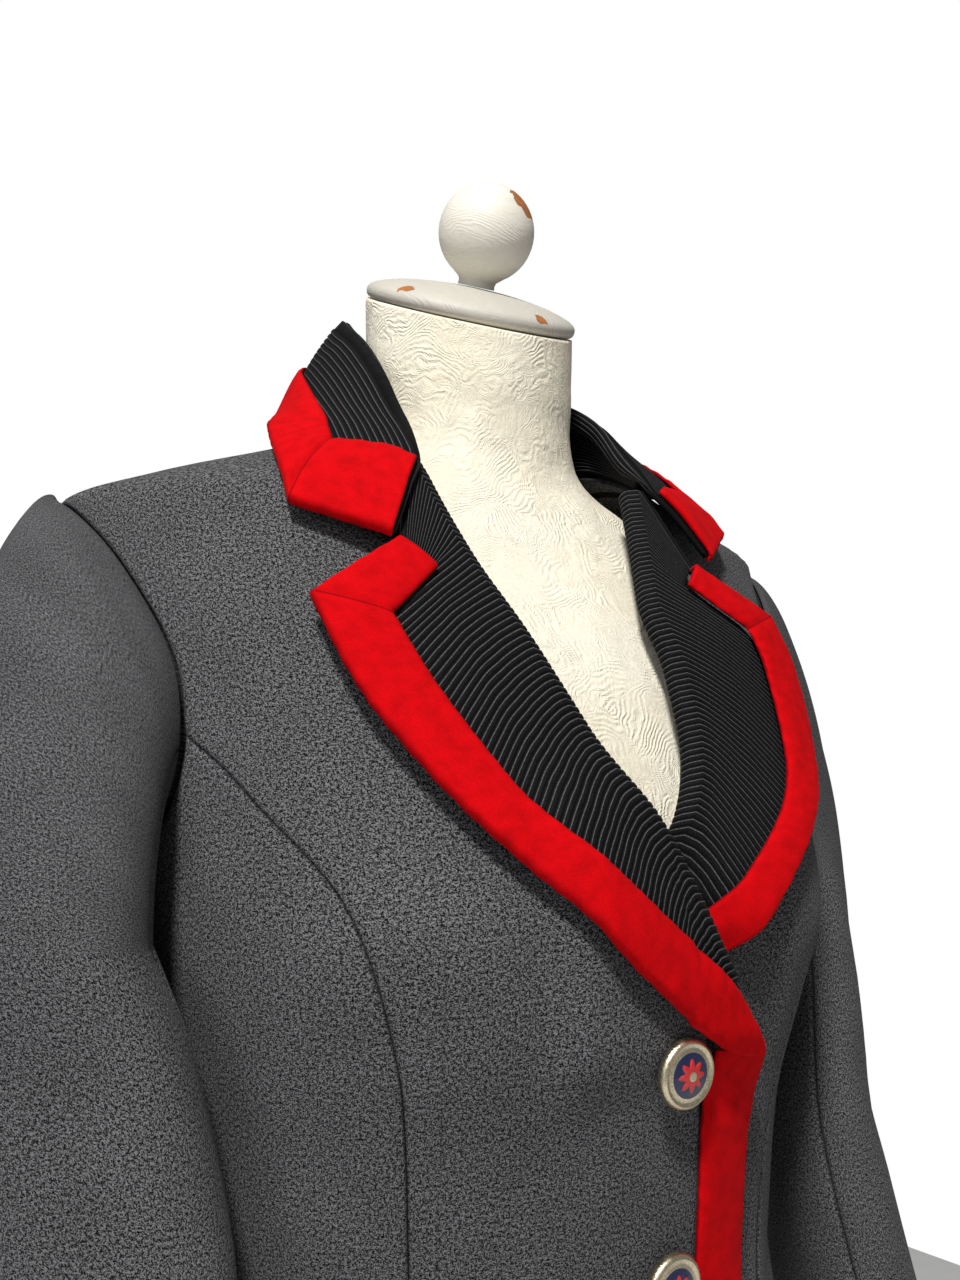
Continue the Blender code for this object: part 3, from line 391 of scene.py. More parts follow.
def armhole_ring(turns, side, wider, higher):
    """Angle and height round an armhole that is opened by some more."""
    reach = np.where(np.sin(turns) > 0, ARMHOLE_FRONT, ARMHOLE_BACK) + wider
    height = (SHOULDER_TIP + ARMPIT) / 2 + ((SHOULDER_TIP - ARMPIT) / 2 + higher) * np.cos(turns)
    return side * (np.pi / 2 - reach * np.sin(turns)), height


def sleeve_surface(turn, down, side):
    """A sleeve's outer face: down runs 0 to 1 over the head and 1 to 2 along the arm."""
    share = np.cos(turn)
    ring = armhole_ring(turn, side, 0.012, 0.0020)
    normal = skin_normal(*ring) * (side, 1, 1)
    start = skin(*ring) * (side, 1, 1) + 0.0020 * normal
    out = normal + np.array([0.3, 0, 0.2]) * np.clip(share, 0, 1)[..., None]
    top, cuff = LEFT_SLEEVE[-1][0], LEFT_SLEEVE[0][0]
    end = sleeve_ring(np.full_like(turn, top), turn, side)
    rise = (share + 1) / 2
    one = start + unit(out) * (0.004 + (0.014 if side < 0 else 0.010) * rise**1.3)[..., None]
    two = end + np.array([0, 0, 1.0]) * (0.006 + 0.105 * rise**1.2)[..., None]
    t = np.clip(down, 0, 1)[..., None]
    head = (1 - t) ** 3 * start + 3 * (1 - t) ** 2 * t * one + 3 * (1 - t) * t * t * two + t**3 * end
    arm = sleeve_ring(top + (cuff - top) * np.clip(down - 1, 0, 1), turn, side)
    return np.where((down <= 1)[..., None], head, arm)


# Steps over the roll of a lapel in mm: across towards the opening, then out from the coat.
ROLL_OUTSIDE = ((3.4, -1.6), (5.2, 1.6), (4.0, 5.2))
ROLL_INSIDE = ((1.4, -1.6), (3.1, 1.9), (2.4, 3.8))
TUCKED_OUTSIDE = ((3.2, -5.6), (4.6, -4.0), (3.4, -2.0))
TUCKED_INSIDE = ((1.2, -5.6), (2.6, -4.3), (1.9, -3.5))


def trim_rows(places, side, short=OVERHANG):
    """The lapel trim's inner line and its shortened edge, read at places between the rows of its table."""
    table, peak = np.array(LAPEL_TRIM), 2
    count = np.arange(len(table), dtype=float)
    rows = []
    for k in range(4):
        above = smooth(places, count[: peak + 1], table[: peak + 1, k])
        below = smooth(places, count[peak:], table[peak:, k])
        rows.append(np.where(places <= peak, above, below))
    rows = np.stack(rows, axis=1)
    if side > 0:
        rows[:, 0] += belly(rows[:, 1])
        rows[:, 2] += belly(rows[:, 3])
    run = rows[:, 2:] - rows[:, :2]
    rows[:, 2:] -= run / np.linalg.norm(run, axis=1, keepdims=True) * short
    return rows


def collar_lines(s):
    """The collar's fold and its edge at places from 0 at the right front to 1 at the left front."""
    table, places = np.array(COLLAR), np.array(COLLAR_PLACES)
    s = np.asarray(s, float)
    near = np.minimum(s, 1 - s)
    offset = np.where(s < 0.5, 0, 6)
    read = np.stack([smooth(near, places, table[:, k]) for k in range(12)], axis=-1)
    lines = np.where((offset == 0)[..., None], read[..., :6], read[..., 6:])
    sign = np.where(s < 0.5, -1.0, 1.0)
    fold_line, edge_line = lines[..., :3].copy(), lines[..., 3:].copy()
    for line in (fold_line, edge_line):
        line[..., 0] *= sign
        line[..., 2] += BUTTON_HEIGHT
    return fold_line, edge_line


def collar_frame(s):
    """The fold point, the way down the fall, the way out of it and its length."""
    fold_line, edge_line = collar_lines(s)
    d = 0.004
    before, after = collar_lines(np.clip(s - d, 0, 1)), collar_lines(np.clip(s + d, 0, 1))
    run = unit(after[0] + after[1] - before[0] - before[1])
    across = edge_line - fold_line
    length = np.linalg.norm(across, axis=-1, keepdims=True)
    out = unit(np.cross(run, across))
    out = out * np.where(out[..., 2:] < 0, -1, 1)
    return fold_line, across / length, out, length


def collar_point(s, down, lift):
    """A point of the collar's fall: down is 0 at the fold and 1 at the edge."""
    point, across, out, length = collar_frame(s)
    bulge = 0.0045 * np.sin(np.pi * np.clip(down, 0, 1)) * step(np.minimum(s, 1 - s), 0.0, 0.15)
    return point + across * length * down[..., None] + out * (lift + bulge)[..., None]


COLLAR_OUTSIDE = ((5.0, -7.2), (0.0, -7.2), (-3.2, -5.2), (-3.0, -1.6))
COLLAR_INSIDE = ((5.0, -5.2), (0.4, -5.2), (-1.2, -4.2), (-1.0, -2.9))
COLLAR_ROWS = np.concatenate([[0.0, 0.0425], np.linspace(0.085, 0.915, 23), [0.9575, 1.0]])


# height, half_width, front, back, centre_y, squareness
FORM_SECTIONS = (
    (-0.360, 0.140, 0.092, 0.096, 0.000, 1.00),
    (-0.300, 0.150, 0.100, 0.106, 0.000, 1.00),
    (-0.215, 0.134, 0.097, 0.086, 0.000, 1.00),
    (-0.110, 0.110, 0.096, 0.064, 0.002, 1.04),
    (-0.040, 0.113, 0.107, 0.071, 0.002, 1.04),
    (0.010, 0.126, 0.115, 0.079, 0.002, 1.02),
    (0.045, 0.143, 0.117, 0.083, 0.002, 0.98),
    (0.085, 0.152, 0.112, 0.084, 0.003, 0.95),
    (0.150, 0.158, 0.095, 0.079, 0.006, 0.94),
    (0.195, 0.158, 0.075, 0.068, 0.009, 0.96),
    (0.216, 0.142, 0.065, 0.060, 0.010, 1.00),
    (0.232, 0.113, 0.059, 0.056, 0.010, 1.00),
    (0.248, 0.080, 0.054, 0.052, 0.010, 1.00),
    (0.265, 0.060, 0.052, 0.047, 0.009, 1.00),
    (0.285, 0.0535, 0.0520, 0.0470, 0.006, 1.00),
    (0.310, 0.0530, 0.0530, 0.0490, 0.001, 1.00),
    (0.400, 0.0525, 0.0520, 0.0510, -0.006, 1.00),
)
CAP_CENTRE = (0.004, -0.004, 0.346)
CAP_TILT = math.radians(30)

# Turned profiles in mm: radius, then level.
BUTTON_PROFILE = (
    (3.0, 0.0), (3.0, 3.0), (12.2, 3.0), (12.7, 3.5), (12.9, 4.4), (12.9, 5.6), (12.5, 6.4), (12.0, 6.9),
    (11.4, 7.2), (10.8, 7.1), (10.3, 6.7), (9.8, 6.65), (9.0, 6.9), (8.0, 7.1), (7.0, 7.3), (6.2, 7.5),
    (5.6, 7.6), (5.0, 7.7), (4.4, 7.78), (3.8, 7.84), (3.2, 7.9), (2.6, 7.95), (2.0, 8.0), (1.5, 8.0),
    (1.1, 8.0), (0.7, 8.0), (0.35, 8.0),
)
CAP_PROFILE = (
    (50.0, 0.0), (52.3, 0.4), (53.5, 1.5), (54.0, 3.2), (53.8, 5.2), (52.6, 6.8), (50.0, 8.4), (45.0, 10.2),
    (38.0, 12.0), (30.0, 13.3), (22.0, 14.2), (15.0, 14.8), (8.0, 15.1), (2.0, 15.2),
)
BALL_RADIUS = 0.0240
POLE_PROFILE = ((15.5, 24.3), (16.0, 25.0), (16.0, 120.0), (15.8, 200.0), (16.0, 328.8), (15.2, 329.6))
FOOT_PROFILE = (
    (147.0, 0.0), (149.0, 1.0), (150.0, 3.0), (150.0, 12.5), (148.8, 15.2), (145.0, 17.5), (138.0, 18.6),
    (125.0, 19.6), (80.0, 21.8), (60.0, 22.5), (30.0, 23.4), (17.0, 23.9),
)

# Chips in the paint of the cap and of the ball: centre on the piece, then radius.
CAP_CHIPS = (((-0.0455, -0.0180, 0.0088), 0.0042), ((0.0120, -0.0500, 0.0078), 0.0036))
BALL_CHIPS = (((0.0115, -0.0120, 0.0592), 0.0088),)

# Slow waves of the plaster: three slopes, a phase and a height.
PLASTER_WAVES = (
    (70, 40, 55, 0.0, 0.00022),
    (-45, 85, 60, 1.3, 0.00020),
    (130, -60, 95, 2.1, 0.00014),
    (60, 150, -110, 4.0, 0.00012),
)

# How the cloth's folds and its map are measured: across in radians times a reach, and along a sleeve's run.
BODY_REACH = 0.15
SLEEVE_REACH = 0.05
SLEEVE_RUN = 0.37


def form_point(angle, height):
    """The dress form's surface."""
    half, front, back, centre, square = section(height, FORM_SECTIONS)
    s, c = np.sin(angle), np.cos(angle)
    x = half * s
    y = centre - np.sign(c) * np.where(c > 0, front, back) * np.abs(c) ** square
    y = y - mound(BUST, x, height) * np.clip(c, 0, 1) ** 0.6
    x = x + CAP_CENTRE[0] * step(height, 0.24, 0.29)
    return np.stack(np.broadcast_arrays(x, y, BUTTON_HEIGHT + height), axis=-1)


# start angle in degrees, start height, end angle, end height, half width, rise (a trough is below 0)
BODY_FOLDS = (
    (-58, 0.040, -30, -0.060, 0.010, -0.0010),
    (-66, -0.020, -38, -0.100, 0.012, 0.0009),
    (-80, -0.080, -44, -0.190, 0.014, -0.0016),
    (-52, -0.060, -78, -0.200, 0.012, -0.0012),
    (-30, -0.120, -24, -0.480, 0.016, -0.0024),
    (-70, -0.140, -66, -0.520, 0.020, -0.0034),
    (-100, -0.120, -104, -0.520, 0.018, 0.0030),
    (-128, -0.150, -124, -0.520, 0.020, -0.0036),
    (-158, -0.130, -160, -0.520, 0.020, 0.0026),
    (34, -0.090, 30, -0.460, 0.016, -0.0022),
    (62, -0.040, 40, -0.130, 0.011, -0.0014),
    (50, -0.110, 80, -0.210, 0.013, 0.0014),
    (72, -0.140, 70, -0.520, 0.020, -0.0034),
    (98, -0.130, 102, -0.520, 0.018, 0.0028),
    (126, -0.140, 130, -0.520, 0.020, -0.0036),
    (160, -0.150, 157, -0.520, 0.020, 0.0026),
    (-150, 0.140, -120, 0.060, 0.012, -0.0012),
    (150, 0.135, 122, 0.055, 0.012, -0.0012),
    (-172, -0.060, -140, -0.105, 0.010, -0.0014),
    (172, -0.064, 142, -0.112, 0.010, -0.0014),
)
# start turn in degrees, start run, end turn, end run, half width, rise
SLEEVE_FOLDS = (
    (70, 1.04, 10, 1.22, 0.010, -0.0014),
    (95, 1.20, 30, 1.36, 0.011, -0.0018),
    (60, 1.34, 110, 1.52, 0.010, 0.0012),
    (-80, 1.10, -30, 1.30, 0.012, -0.0014),
    (-60, 1.34, -100, 1.56, 0.012, 0.0012),
    (40, 0.30, 80, 0.90, 0.012, -0.0008),
    (20, 1.55, 50, 1.90, 0.014, -0.0012),
    (150, 1.00, 170, 1.40, 0.012, -0.0014),
    (200, 1.25, 160, 1.60, 0.012, -0.0012),
)


def finer(values, k):
    """A row of values with k steps in place of each one."""
    values = np.asarray(values, float)
    spots = np.linspace(0, len(values) - 1, (len(values) - 1) * k + 1)
    return np.interp(spots, np.arange(len(values)), values)


def near_ends(count, first):
    """Places in a row of points, closer together at both ends."""
    first = np.array(first)
    return np.concatenate([first, np.arange(1, count - 1), count - 1 - first[::-1]])


def read_grid(grid, rows, columns):
    """A grid read between its points."""
    for axis, at in ((0, rows), (1, columns)):
        low = np.clip(np.floor(at).astype(int), 0, grid.shape[axis] - 2)
        shape = [1] * grid.ndim
        shape[axis] = -1
        share = (at - low).reshape(shape)
        grid = np.take(grid, low, axis) * (1 - share) + np.take(grid, low + 1, axis) * share
    return grid


def lengths(grid, axis):
    """The distance along a grid's lines from their start."""
    gap = np.linalg.norm(np.diff(grid, axis=axis), axis=-1)
    return np.cumsum(np.concatenate([np.zeros_like(np.take(gap, [0], axis)), gap], axis), axis=axis)


def rim_distance(grid):
    """How far each point is from the nearest rim of its piece."""
    u, v = lengths(grid, 1), lengths(grid, 0)
    return np.minimum(np.minimum(u, u[:, -1:] - u), np.minimum(v, v[-1:] - v))


def bowed_folds(table, across, up):
    """The rise of soft bowed folds; the table's places are in the units of across and up."""
    total = np.zeros(np.broadcast(across, up).shape)
    for x0, y0, x1, y1, wide, rise in table:
        run = np.array([x1 - x0, y1 - y0])
        size = np.hypot(*run)
        t = ((across - x0) * run[0] + (up - y0) * run[1]) / size**2
        bow = 0.07 * size * np.sin(np.pi * np.clip(t, 0, 1))
        off = ((across - x0) * run[1] - (up - y0) * run[0]) / size + bow
        uneven = 1 + 0.25 * np.sin(9 * t + 40 * x0)
        fade = step(t, -0.05, 0.35) * (1 - step(t, 0.65, 1.05))
        total += rise * uneven * np.exp(-((off / wide) ** 2)) * fade
    return total


def body_creases(angle, height):
    """How far the coat stands out of its smooth form, with the front edges left as they are."""
    table = np.array(BODY_FOLDS)
    table[:, [0, 2]] = np.radians(table[:, [0, 2]]) * BODY_REACH
    rise = bowed_folds(table, angle * BODY_REACH, height)
    grow = step(-height, 0.13, 0.54)
    rise = rise + grow * (0.0020 * np.sin(7 * angle + 0.6) + 0.0012 * np.sin(12 * angle + 2.0))
    rise = rise + 0.00025 * np.sin(23 * angle + 31 * height) * np.sin(57 * height + 4 * angle)
    x = skin(angle, height)[..., 0]
    calm = np.where(np.cos(angle) > 0, step(np.abs(x), 0.046, 0.090), 1.0)
    return rise * calm * (1 - step(height, 0.215, 0.245))


def metres(profile):
    """A profile in mm as one in metres."""
    return [(radius / 1000, level / 1000) for radius, level in profile]


def new_piece(name, points, faces, material):
    """A smooth object of one material."""
    mesh = bpy.data.meshes.new(name)
    mesh.from_pydata(points.tolist(), [], faces)
    mesh.materials.append(material)
    mesh.polygons.foreach_set("use_smooth", [True] * len(faces))
    piece = bpy.data.objects.new(name, mesh)
    bpy.context.scene.collection.objects.link(piece)
    return piece


def shell(name, outer, inner, material, place, marks=None):
    """A closed thin shell between two grids of one size, with its map along the cloth."""
    m, n = outer.shape[:2]
    points = np.concatenate([outer.reshape(-1, 3), inner.reshape(-1, 3)])
    out = np.arange(m * n).reshape(m, n)
    into = out + m * n
    faces = [
        np.stack([out[:-1, :-1], out[:-1, 1:], out[1:, 1:], out[1:, :-1]], -1),
        np.stack([into[:-1, :-1], into[1:, :-1], into[1:, 1:], into[:-1, 1:]], -1),
        np.stack([out[0, 1:], out[0, :-1], into[0, :-1], into[0, 1:]], -1),
        np.stack([out[-1, :-1], out[-1, 1:], into[-1, 1:], into[-1, :-1]], -1),
        np.stack([out[:-1, 0], out[1:, 0], into[1:, 0], into[:-1, 0]], -1),
        np.stack([out[1:, -1], out[:-1, -1], into[:-1, -1], into[1:, -1]], -1),
    ]
    faces = np.concatenate([face.reshape(-1, 4) for face in faces])
    a, b, c, d = (points[faces[:, k]] for k in range(4))
    if (np.cross(b, c) * a).sum() + (np.cross(c, d) * a).sum() < 0:
        faces = faces[:, ::-1]
    piece = new_piece(name, points, faces.tolist(), material)
    if marks is None:
        marks = np.stack([rim_distance(outer), np.zeros((m, n))], -1)
    for layer, values in (("cloth", place), ("marks", marks)):
        flat = np.concatenate([values.reshape(-1, 2)] * 2)
        piece.data.uv_layers.new(name=layer).data.foreach_set("uv", flat[faces.ravel()].ravel())
    piece.data.validate()
    return piece


def sewn(piece, nodes, grid):
    """Puts a cloth piece on its body and hides the solid it stands for; the size it was cut to is worked out
    but not kept.
    """
    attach(piece, "root")
    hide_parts(*nodes)
    wide, long = lengths(grid, 1)[:, -1].max(), lengths(grid, 0)[-1].max()
    across, down = np.diff(grid, axis=1)[:-1], np.diff(grid, axis=0)[:, :-1]
    area = np.linalg.norm(np.cross(across, down), axis=-1).sum()
    area = float(min(max(area, 0.31 * wide * long), wide * long))


def hard(piece, nodes):
    """Puts a hard piece on its body and hides the solid it stands for."""
    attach(piece, "root")
    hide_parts(*nodes)


def edge_roll(grid):
    """The way a sewn edge turns down into its seam."""
    return -0.0011 * np.exp(-((rim_distance(grid) / 0.0013) ** 2))


def body_plans(side, k):
    """The four panels of one side as grids of angle and height, with k steps for each of the solids'."""
    rows = finer(PANEL_ROWS, k)
    front_seam = seam_points(FRONT_SEAM, rows)
    back_seam = seam_points(BACK_SEAM, stretched(rows, 0.150))
    side_seam = [(math.pi / 2, h) for h in stretched(rows, ARMPIT)]
    shoulder = [(math.pi / 2, h) for h in np.linspace(NECK_SIDE, SHOULDER_TIP, 5 * k + 1)]
    front_hole = armhole_points(0.130, SHOULDER_TIP, ARMHOLE_FRONT, 6 * k + 1, -1)
    back_hole = armhole_points(0.150, SHOULDER_TIP, ARMHOLE_BACK, 6 * k + 1, 1)
    heights = np.concatenate([rows, np.linspace(0.130, 0.243, 6 * k + 1)[1:]])
    turned = -FRONT_EDGE + (roll_q(-0.012, side) + FRONT_EDGE) * np.clip((heights + 0.040) / 0.028, 0, 1)
    q = np.where(heights < -0.012, turned, roll_q(heights, side))
    edge = np.stack([angle_at(q, heights), heights], -1)
    neck = neck_points(edge[-1][0], math.pi / 2, 6 * k + 1)
    low = len(rows) - k - 1
    plans = {"front_": flat_patch(edge, front_seam + front_hole[1:], neck + shoulder[1:], low)}
    hole = armhole_points(0.130, ARMPIT, ARMHOLE_FRONT, 4 * k + 1, -1)
    plans["side_front_"] = flat_patch(front_seam, side_seam, hole, 10 * k)
    hole = armhole_points(ARMPIT, 0.150, ARMHOLE_BACK, 4 * k + 1, 1)
    plans["side_back_"] = flat_patch(side_seam, back_seam, hole, 10 * k)
    heights = np.concatenate([stretched(rows, 0.150), np.linspace(0.150, 0.284, 6 * k + 1)[1:]])
    middle = np.stack([np.full_like(heights, math.pi), heights], -1)
    neck = neck_points(math.pi, math.pi / 2, 4 * k + 1)
    plans["back_"] = flat_patch(middle, back_seam + back_hole[1:], neck + shoulder[1:], low)
    return plans


def shrink(grid, gap=SEAM / 2):
    """Pull the rim of a grid inwards along its own surface by half a seam gap."""
    grid = grid.copy()
    for edge, inner in ((grid[0], grid[1]), (grid[-1], grid[-2])):
        edge += unit(inner - edge) * gap
    for edge, inner in ((grid[:, 0], grid[:, 1]), (grid[:, -1], grid[:, -2])):
        edge += unit(inner - edge) * gap
    return grid


def build_panels(sizes, wool):
    """The eight body panels."""
    for side, word in ((-1, "right"), (1, "left")):
        for name, plan in body_plans(side, 5).items():
            rows = near_ends(plan.shape[0], (0.0, 0.08, 0.2, 0.45))
            plan = read_grid(plan, rows, near_ends(plan.shape[1], (0.0, 0.12, 0.3, 0.6)))
            angle, height = side * plan[..., 0], plan[..., 1]
            normal = skin_normal(angle, height)
            smooth_form = skin(angle, height)
            rise = body_creases(angle, height)
            if name == "front_":
                rise = rise + (right_lift if side < 0 else left_lift)(smooth_form[..., 0], height)
            outer = shrink(smooth_form + rise[..., None] * normal)
            outer = outer + edge_roll(outer)[..., None] * normal
            inner = outer - sizes.wool_thickness * normal
            place = np.stack([angle * BODY_REACH, height], -1)
            dart = np.full(angle.shape, 0.05)
            if name == "front_":
                line = np.radians(-31.5 - 1.5 * np.clip((0.05 - height) / 0.3, 0, 1))
                dart = np.abs(angle - side * -line) * BODY_REACH + np.where(height > 0.075, 0.05, 0.0)
            marks = np.stack([rim_distance(outer), dart], -1)
            piece = shell(name + word + "_cloth", outer, inner, wool, place, marks)
            sewn(piece, [name + word], outer)


def hem_normal(turns, side):
    """Which way the coat faces round an armhole."""
    normal = skin_normal(*armhole_ring(turns, side, 0.0, 0.0))
    return np.broadcast_to(normal, (3,) + normal.shape)


def tucked_hem(turns, side):
    """The seam allowance of a sleeve, turned in under the armhole's edge."""
    rings = []
    for wider, higher, lift in ((0.050, 0.008, -0.0027), (-0.012, -0.002, -0.0027), (-0.012, -0.002, 0.0)):
        ring = armhole_ring(turns, side, wider, higher)
        rings.append(skin(*ring) + lift * skin_normal(*ring))
    return np.stack(rings)


def build_sleeves(sizes, wool):
    """The top and under sleeves."""
    front, back = math.radians(115), math.radians(-105)
    down = finer(np.concatenate([np.linspace(0, 1, 9), np.linspace(1, 2, 7)[1:]]), 5)
    folds = np.array(SLEEVE_FOLDS)
    folds[:, [0, 2]] = np.radians(folds[:, [0, 2]]) * SLEEVE_REACH
    folds[:, [1, 3]] *= SLEEVE_RUN
    for side, word in ((-1, "right"), (1, "left")):
        for name, turns in (
            ("top_sleeve_", finer(np.linspace(back, front, 12), 6)),
            ("under_sleeve_", finer(np.linspace(front, 2 * math.pi + back, 7), 6)),
        ):
            turns = np.interp(near_ends(len(turns), (0.0, 0.12, 0.3, 0.6)), np.arange(len(turns)), turns)
            run = np.interp(near_ends(len(down), (0.0, 0.08, 0.2, 0.45)), np.arange(len(down)), down)
            turn, run = np.meshgrid(turns, run)
            outer = sleeve_surface(turn, run, side)
            d = 0.004
            across = sleeve_surface(turn + d, run, side) - sleeve_surface(turn - d, run, side)
            below = sleeve_surface(turn, np.clip(run + d, 0, 2), side)
            normal = unit(np.cross(below - sleeve_surface(turn, np.clip(run - d, 0, 2), side), across))
            normal = normal * np.sign((normal * (outer - outer.mean(axis=1, keepdims=True))).sum())
            away = np.where(turn > math.pi, turn - 2 * math.pi, turn)
            rise = bowed_folds(folds, away * SLEEVE_REACH, run * SLEEVE_RUN)
            beyond = bowed_folds(folds, turn * SLEEVE_REACH, run * SLEEVE_RUN)
            rise = rise + beyond * (turn > math.pi)
            rise = rise + 0.0006 * np.sin(4 * turn + 5 * run) * step(run, 0.5, 1.2) * np.sin(3.1 * run)
            rise = rise * step(run, 0.10, 0.5)
            outer = shrink(outer) + rise[..., None] * normal
            ease = edge_roll(outer) * np.where(run > 1.9, 0.4, 1.0)
            outer = outer + ease[..., None] * normal
            inner = outer - sizes.wool_thickness * normal
            outer[..., 0] *= side
            inner[..., 0] *= side
            place = np.stack([turn * 0.055 * side, 0.9 - run * SLEEVE_RUN], -1)
            marks = np.stack([rim_distance(outer), np.full(turn.shape, 0.05)], -1)
            hem = tucked_hem(turns, side)
            grids = [np.concatenate([more, grid]) for more, grid in (
                (hem, outer), (hem - 0.0006 * hem_normal(turns, side), inner),
                (place[:1].repeat(3, axis=0), place), (marks[:1].repeat(3, axis=0), marks),
            )]
            piece = shell(name + word + "_cloth", grids[0], grids[1], wool, grids[2], grids[3])
            sewn(piece, [name + word], outer)


PLEAT = np.array([0.0, 0.72, 0.90, 0.96, 1.0, 0.98])


def build_lapels(sizes, pleated):
    """The pleated faces of both lapels."""
    table = np.array(RIB_ENDS)
    for side, word in ((-1, "right"), (1, "left")):
        per = len(PLEAT)
        heights = np.linspace(0.028 if side < 0 else 0.037, 0.2425, per * RIBS_LAPEL + 1)
        count = np.arange(len(heights))
        pleat = PLEAT[count % per] * sizes.pleat_rise

        def sheet(columns, drop, short):
            h0 = heights[:, None]
            q0 = roll_q(h0, side)
            ends = trim_rows(np.interp(h0[:, 0], table[:, 0], table[:, 1]), side, OVERHANG + 0.0019)
            under = np.interp(h0, table[:, 0], table[:, 2])
            end = ends[:, :2] + (ends[:, 2:] - ends[:, :2]) * under
            q2, h2 = end[:, :1], end[:, 1:]
            t = columns[None]
            a, b, c = (1 - t) ** 2, 2 * t * (1 - t), t * t
            bend = np.interp(h0, table[:, 0], table[:, 3])
            wave = 0.0005 * np.sin(9 * t + 60 * h0) * np.sin(np.pi * t)
            wave = wave + 0.0006 * np.sin(26 * t + 90 * h0) * t * (1 - t)
            q = a * q0 + b * (q0 + (0.5 - 0.05 * bend) * (q2 - q0)) + c * q2
            h = a * h0 + b * (h0 + (0.5 - 0.38 * bend) * (h2 - h0)) + c * h2 + wave * bend
            lift = lapel_lift(q, h, side) + drop * (1 - step(t, 0.90, 1.0) * short)
            return front_point(q, h, lift, side)

        def rolled(free, tucked, extra):
            q = roll_q(heights, side)
            base = front_point(q, heights, np.zeros_like(q), side)
            normal = skin_normal(angle_at(side * q, heights), heights)
            over = front_point(q - 0.001, heights, np.zeros_like(q), side) - base
            over = unit(over - (over * normal).sum(-1, keepdims=True) * normal)
            hidden = covered(q, heights)[:, None] if side > 0 else 0.0
            lift = 0.0 if side > 0 else right_lift(-q, heights)[:, None]
            free, tucked = np.array(free), np.array(tucked)
            spots = finer(np.arange(len(free)), 3)
            points = []
            for at in spots[:-1] if len(free) > 1 else spots:
                a0, n0 = (np.interp(at, np.arange(len(free)), free[:, k]) for k in range(2))
                a1, n1 = (np.interp(at, np.arange(len(free)), tucked[:, k]) for k in range(2))
                round_off = 0.5 * np.sin(np.pi * (at % 1))
                across, out = a0 + (a1 - a0) * hidden, n0 + (n1 - n0) * hidden
                push = (over * (across - 2.6) + normal * (out - 1.0)) / 1000
                push = unit(push + 1e-9) * (extra[:, None] + round_off / 1000)
                points.append(base + over * across / 1000 + normal * (out / 1000 + lift) + push)
            return np.stack(points, axis=1)

        columns = np.concatenate([np.linspace(0, 0.9, 22), [0.94, 0.97, 1.0]])
        outer = np.concatenate([
            rolled(ROLL_OUTSIDE, TUCKED_OUTSIDE, pleat), sheet(columns, pleat[:, None], 1.0)
        ], axis=1)
        flat = np.full((len(count), 1), -0.0016)
        inner = np.concatenate([
            rolled(ROLL_INSIDE, TUCKED_INSIDE, 0 * pleat), sheet(columns, flat, 0.0)
        ], axis=1)
        away = skin_normal(angle_at(side * 0.066, 0.236), 0.236)
        more = [np.array([side * 0.003 * k, 0.0, 0.0006 * k]) - away * 0.0009 * k for k in (1, 2)]
        outer = np.concatenate([outer, outer[-1:] + more[0], outer[-1:] + more[1]])
        inner = np.concatenate([inner, inner[-1:] + more[0], inner[-1:] + more[1]])
        rows = np.concatenate([count / per, [RIBS_LAPEL + 0.9, RIBS_LAPEL + 1.7]])
        place = np.stack([lengths(outer, 1), np.broadcast_to(rows[:, None], outer.shape[:2])], -1)
        marks = np.stack([rim_distance(outer), np.full(outer.shape[:2], side * 1.0)], -1)
        piece = shell("lapel_facing_" + word + "_cloth", outer, inner, pleated, place, marks)
        sewn(piece, ["lapel_facing_" + word], outer)


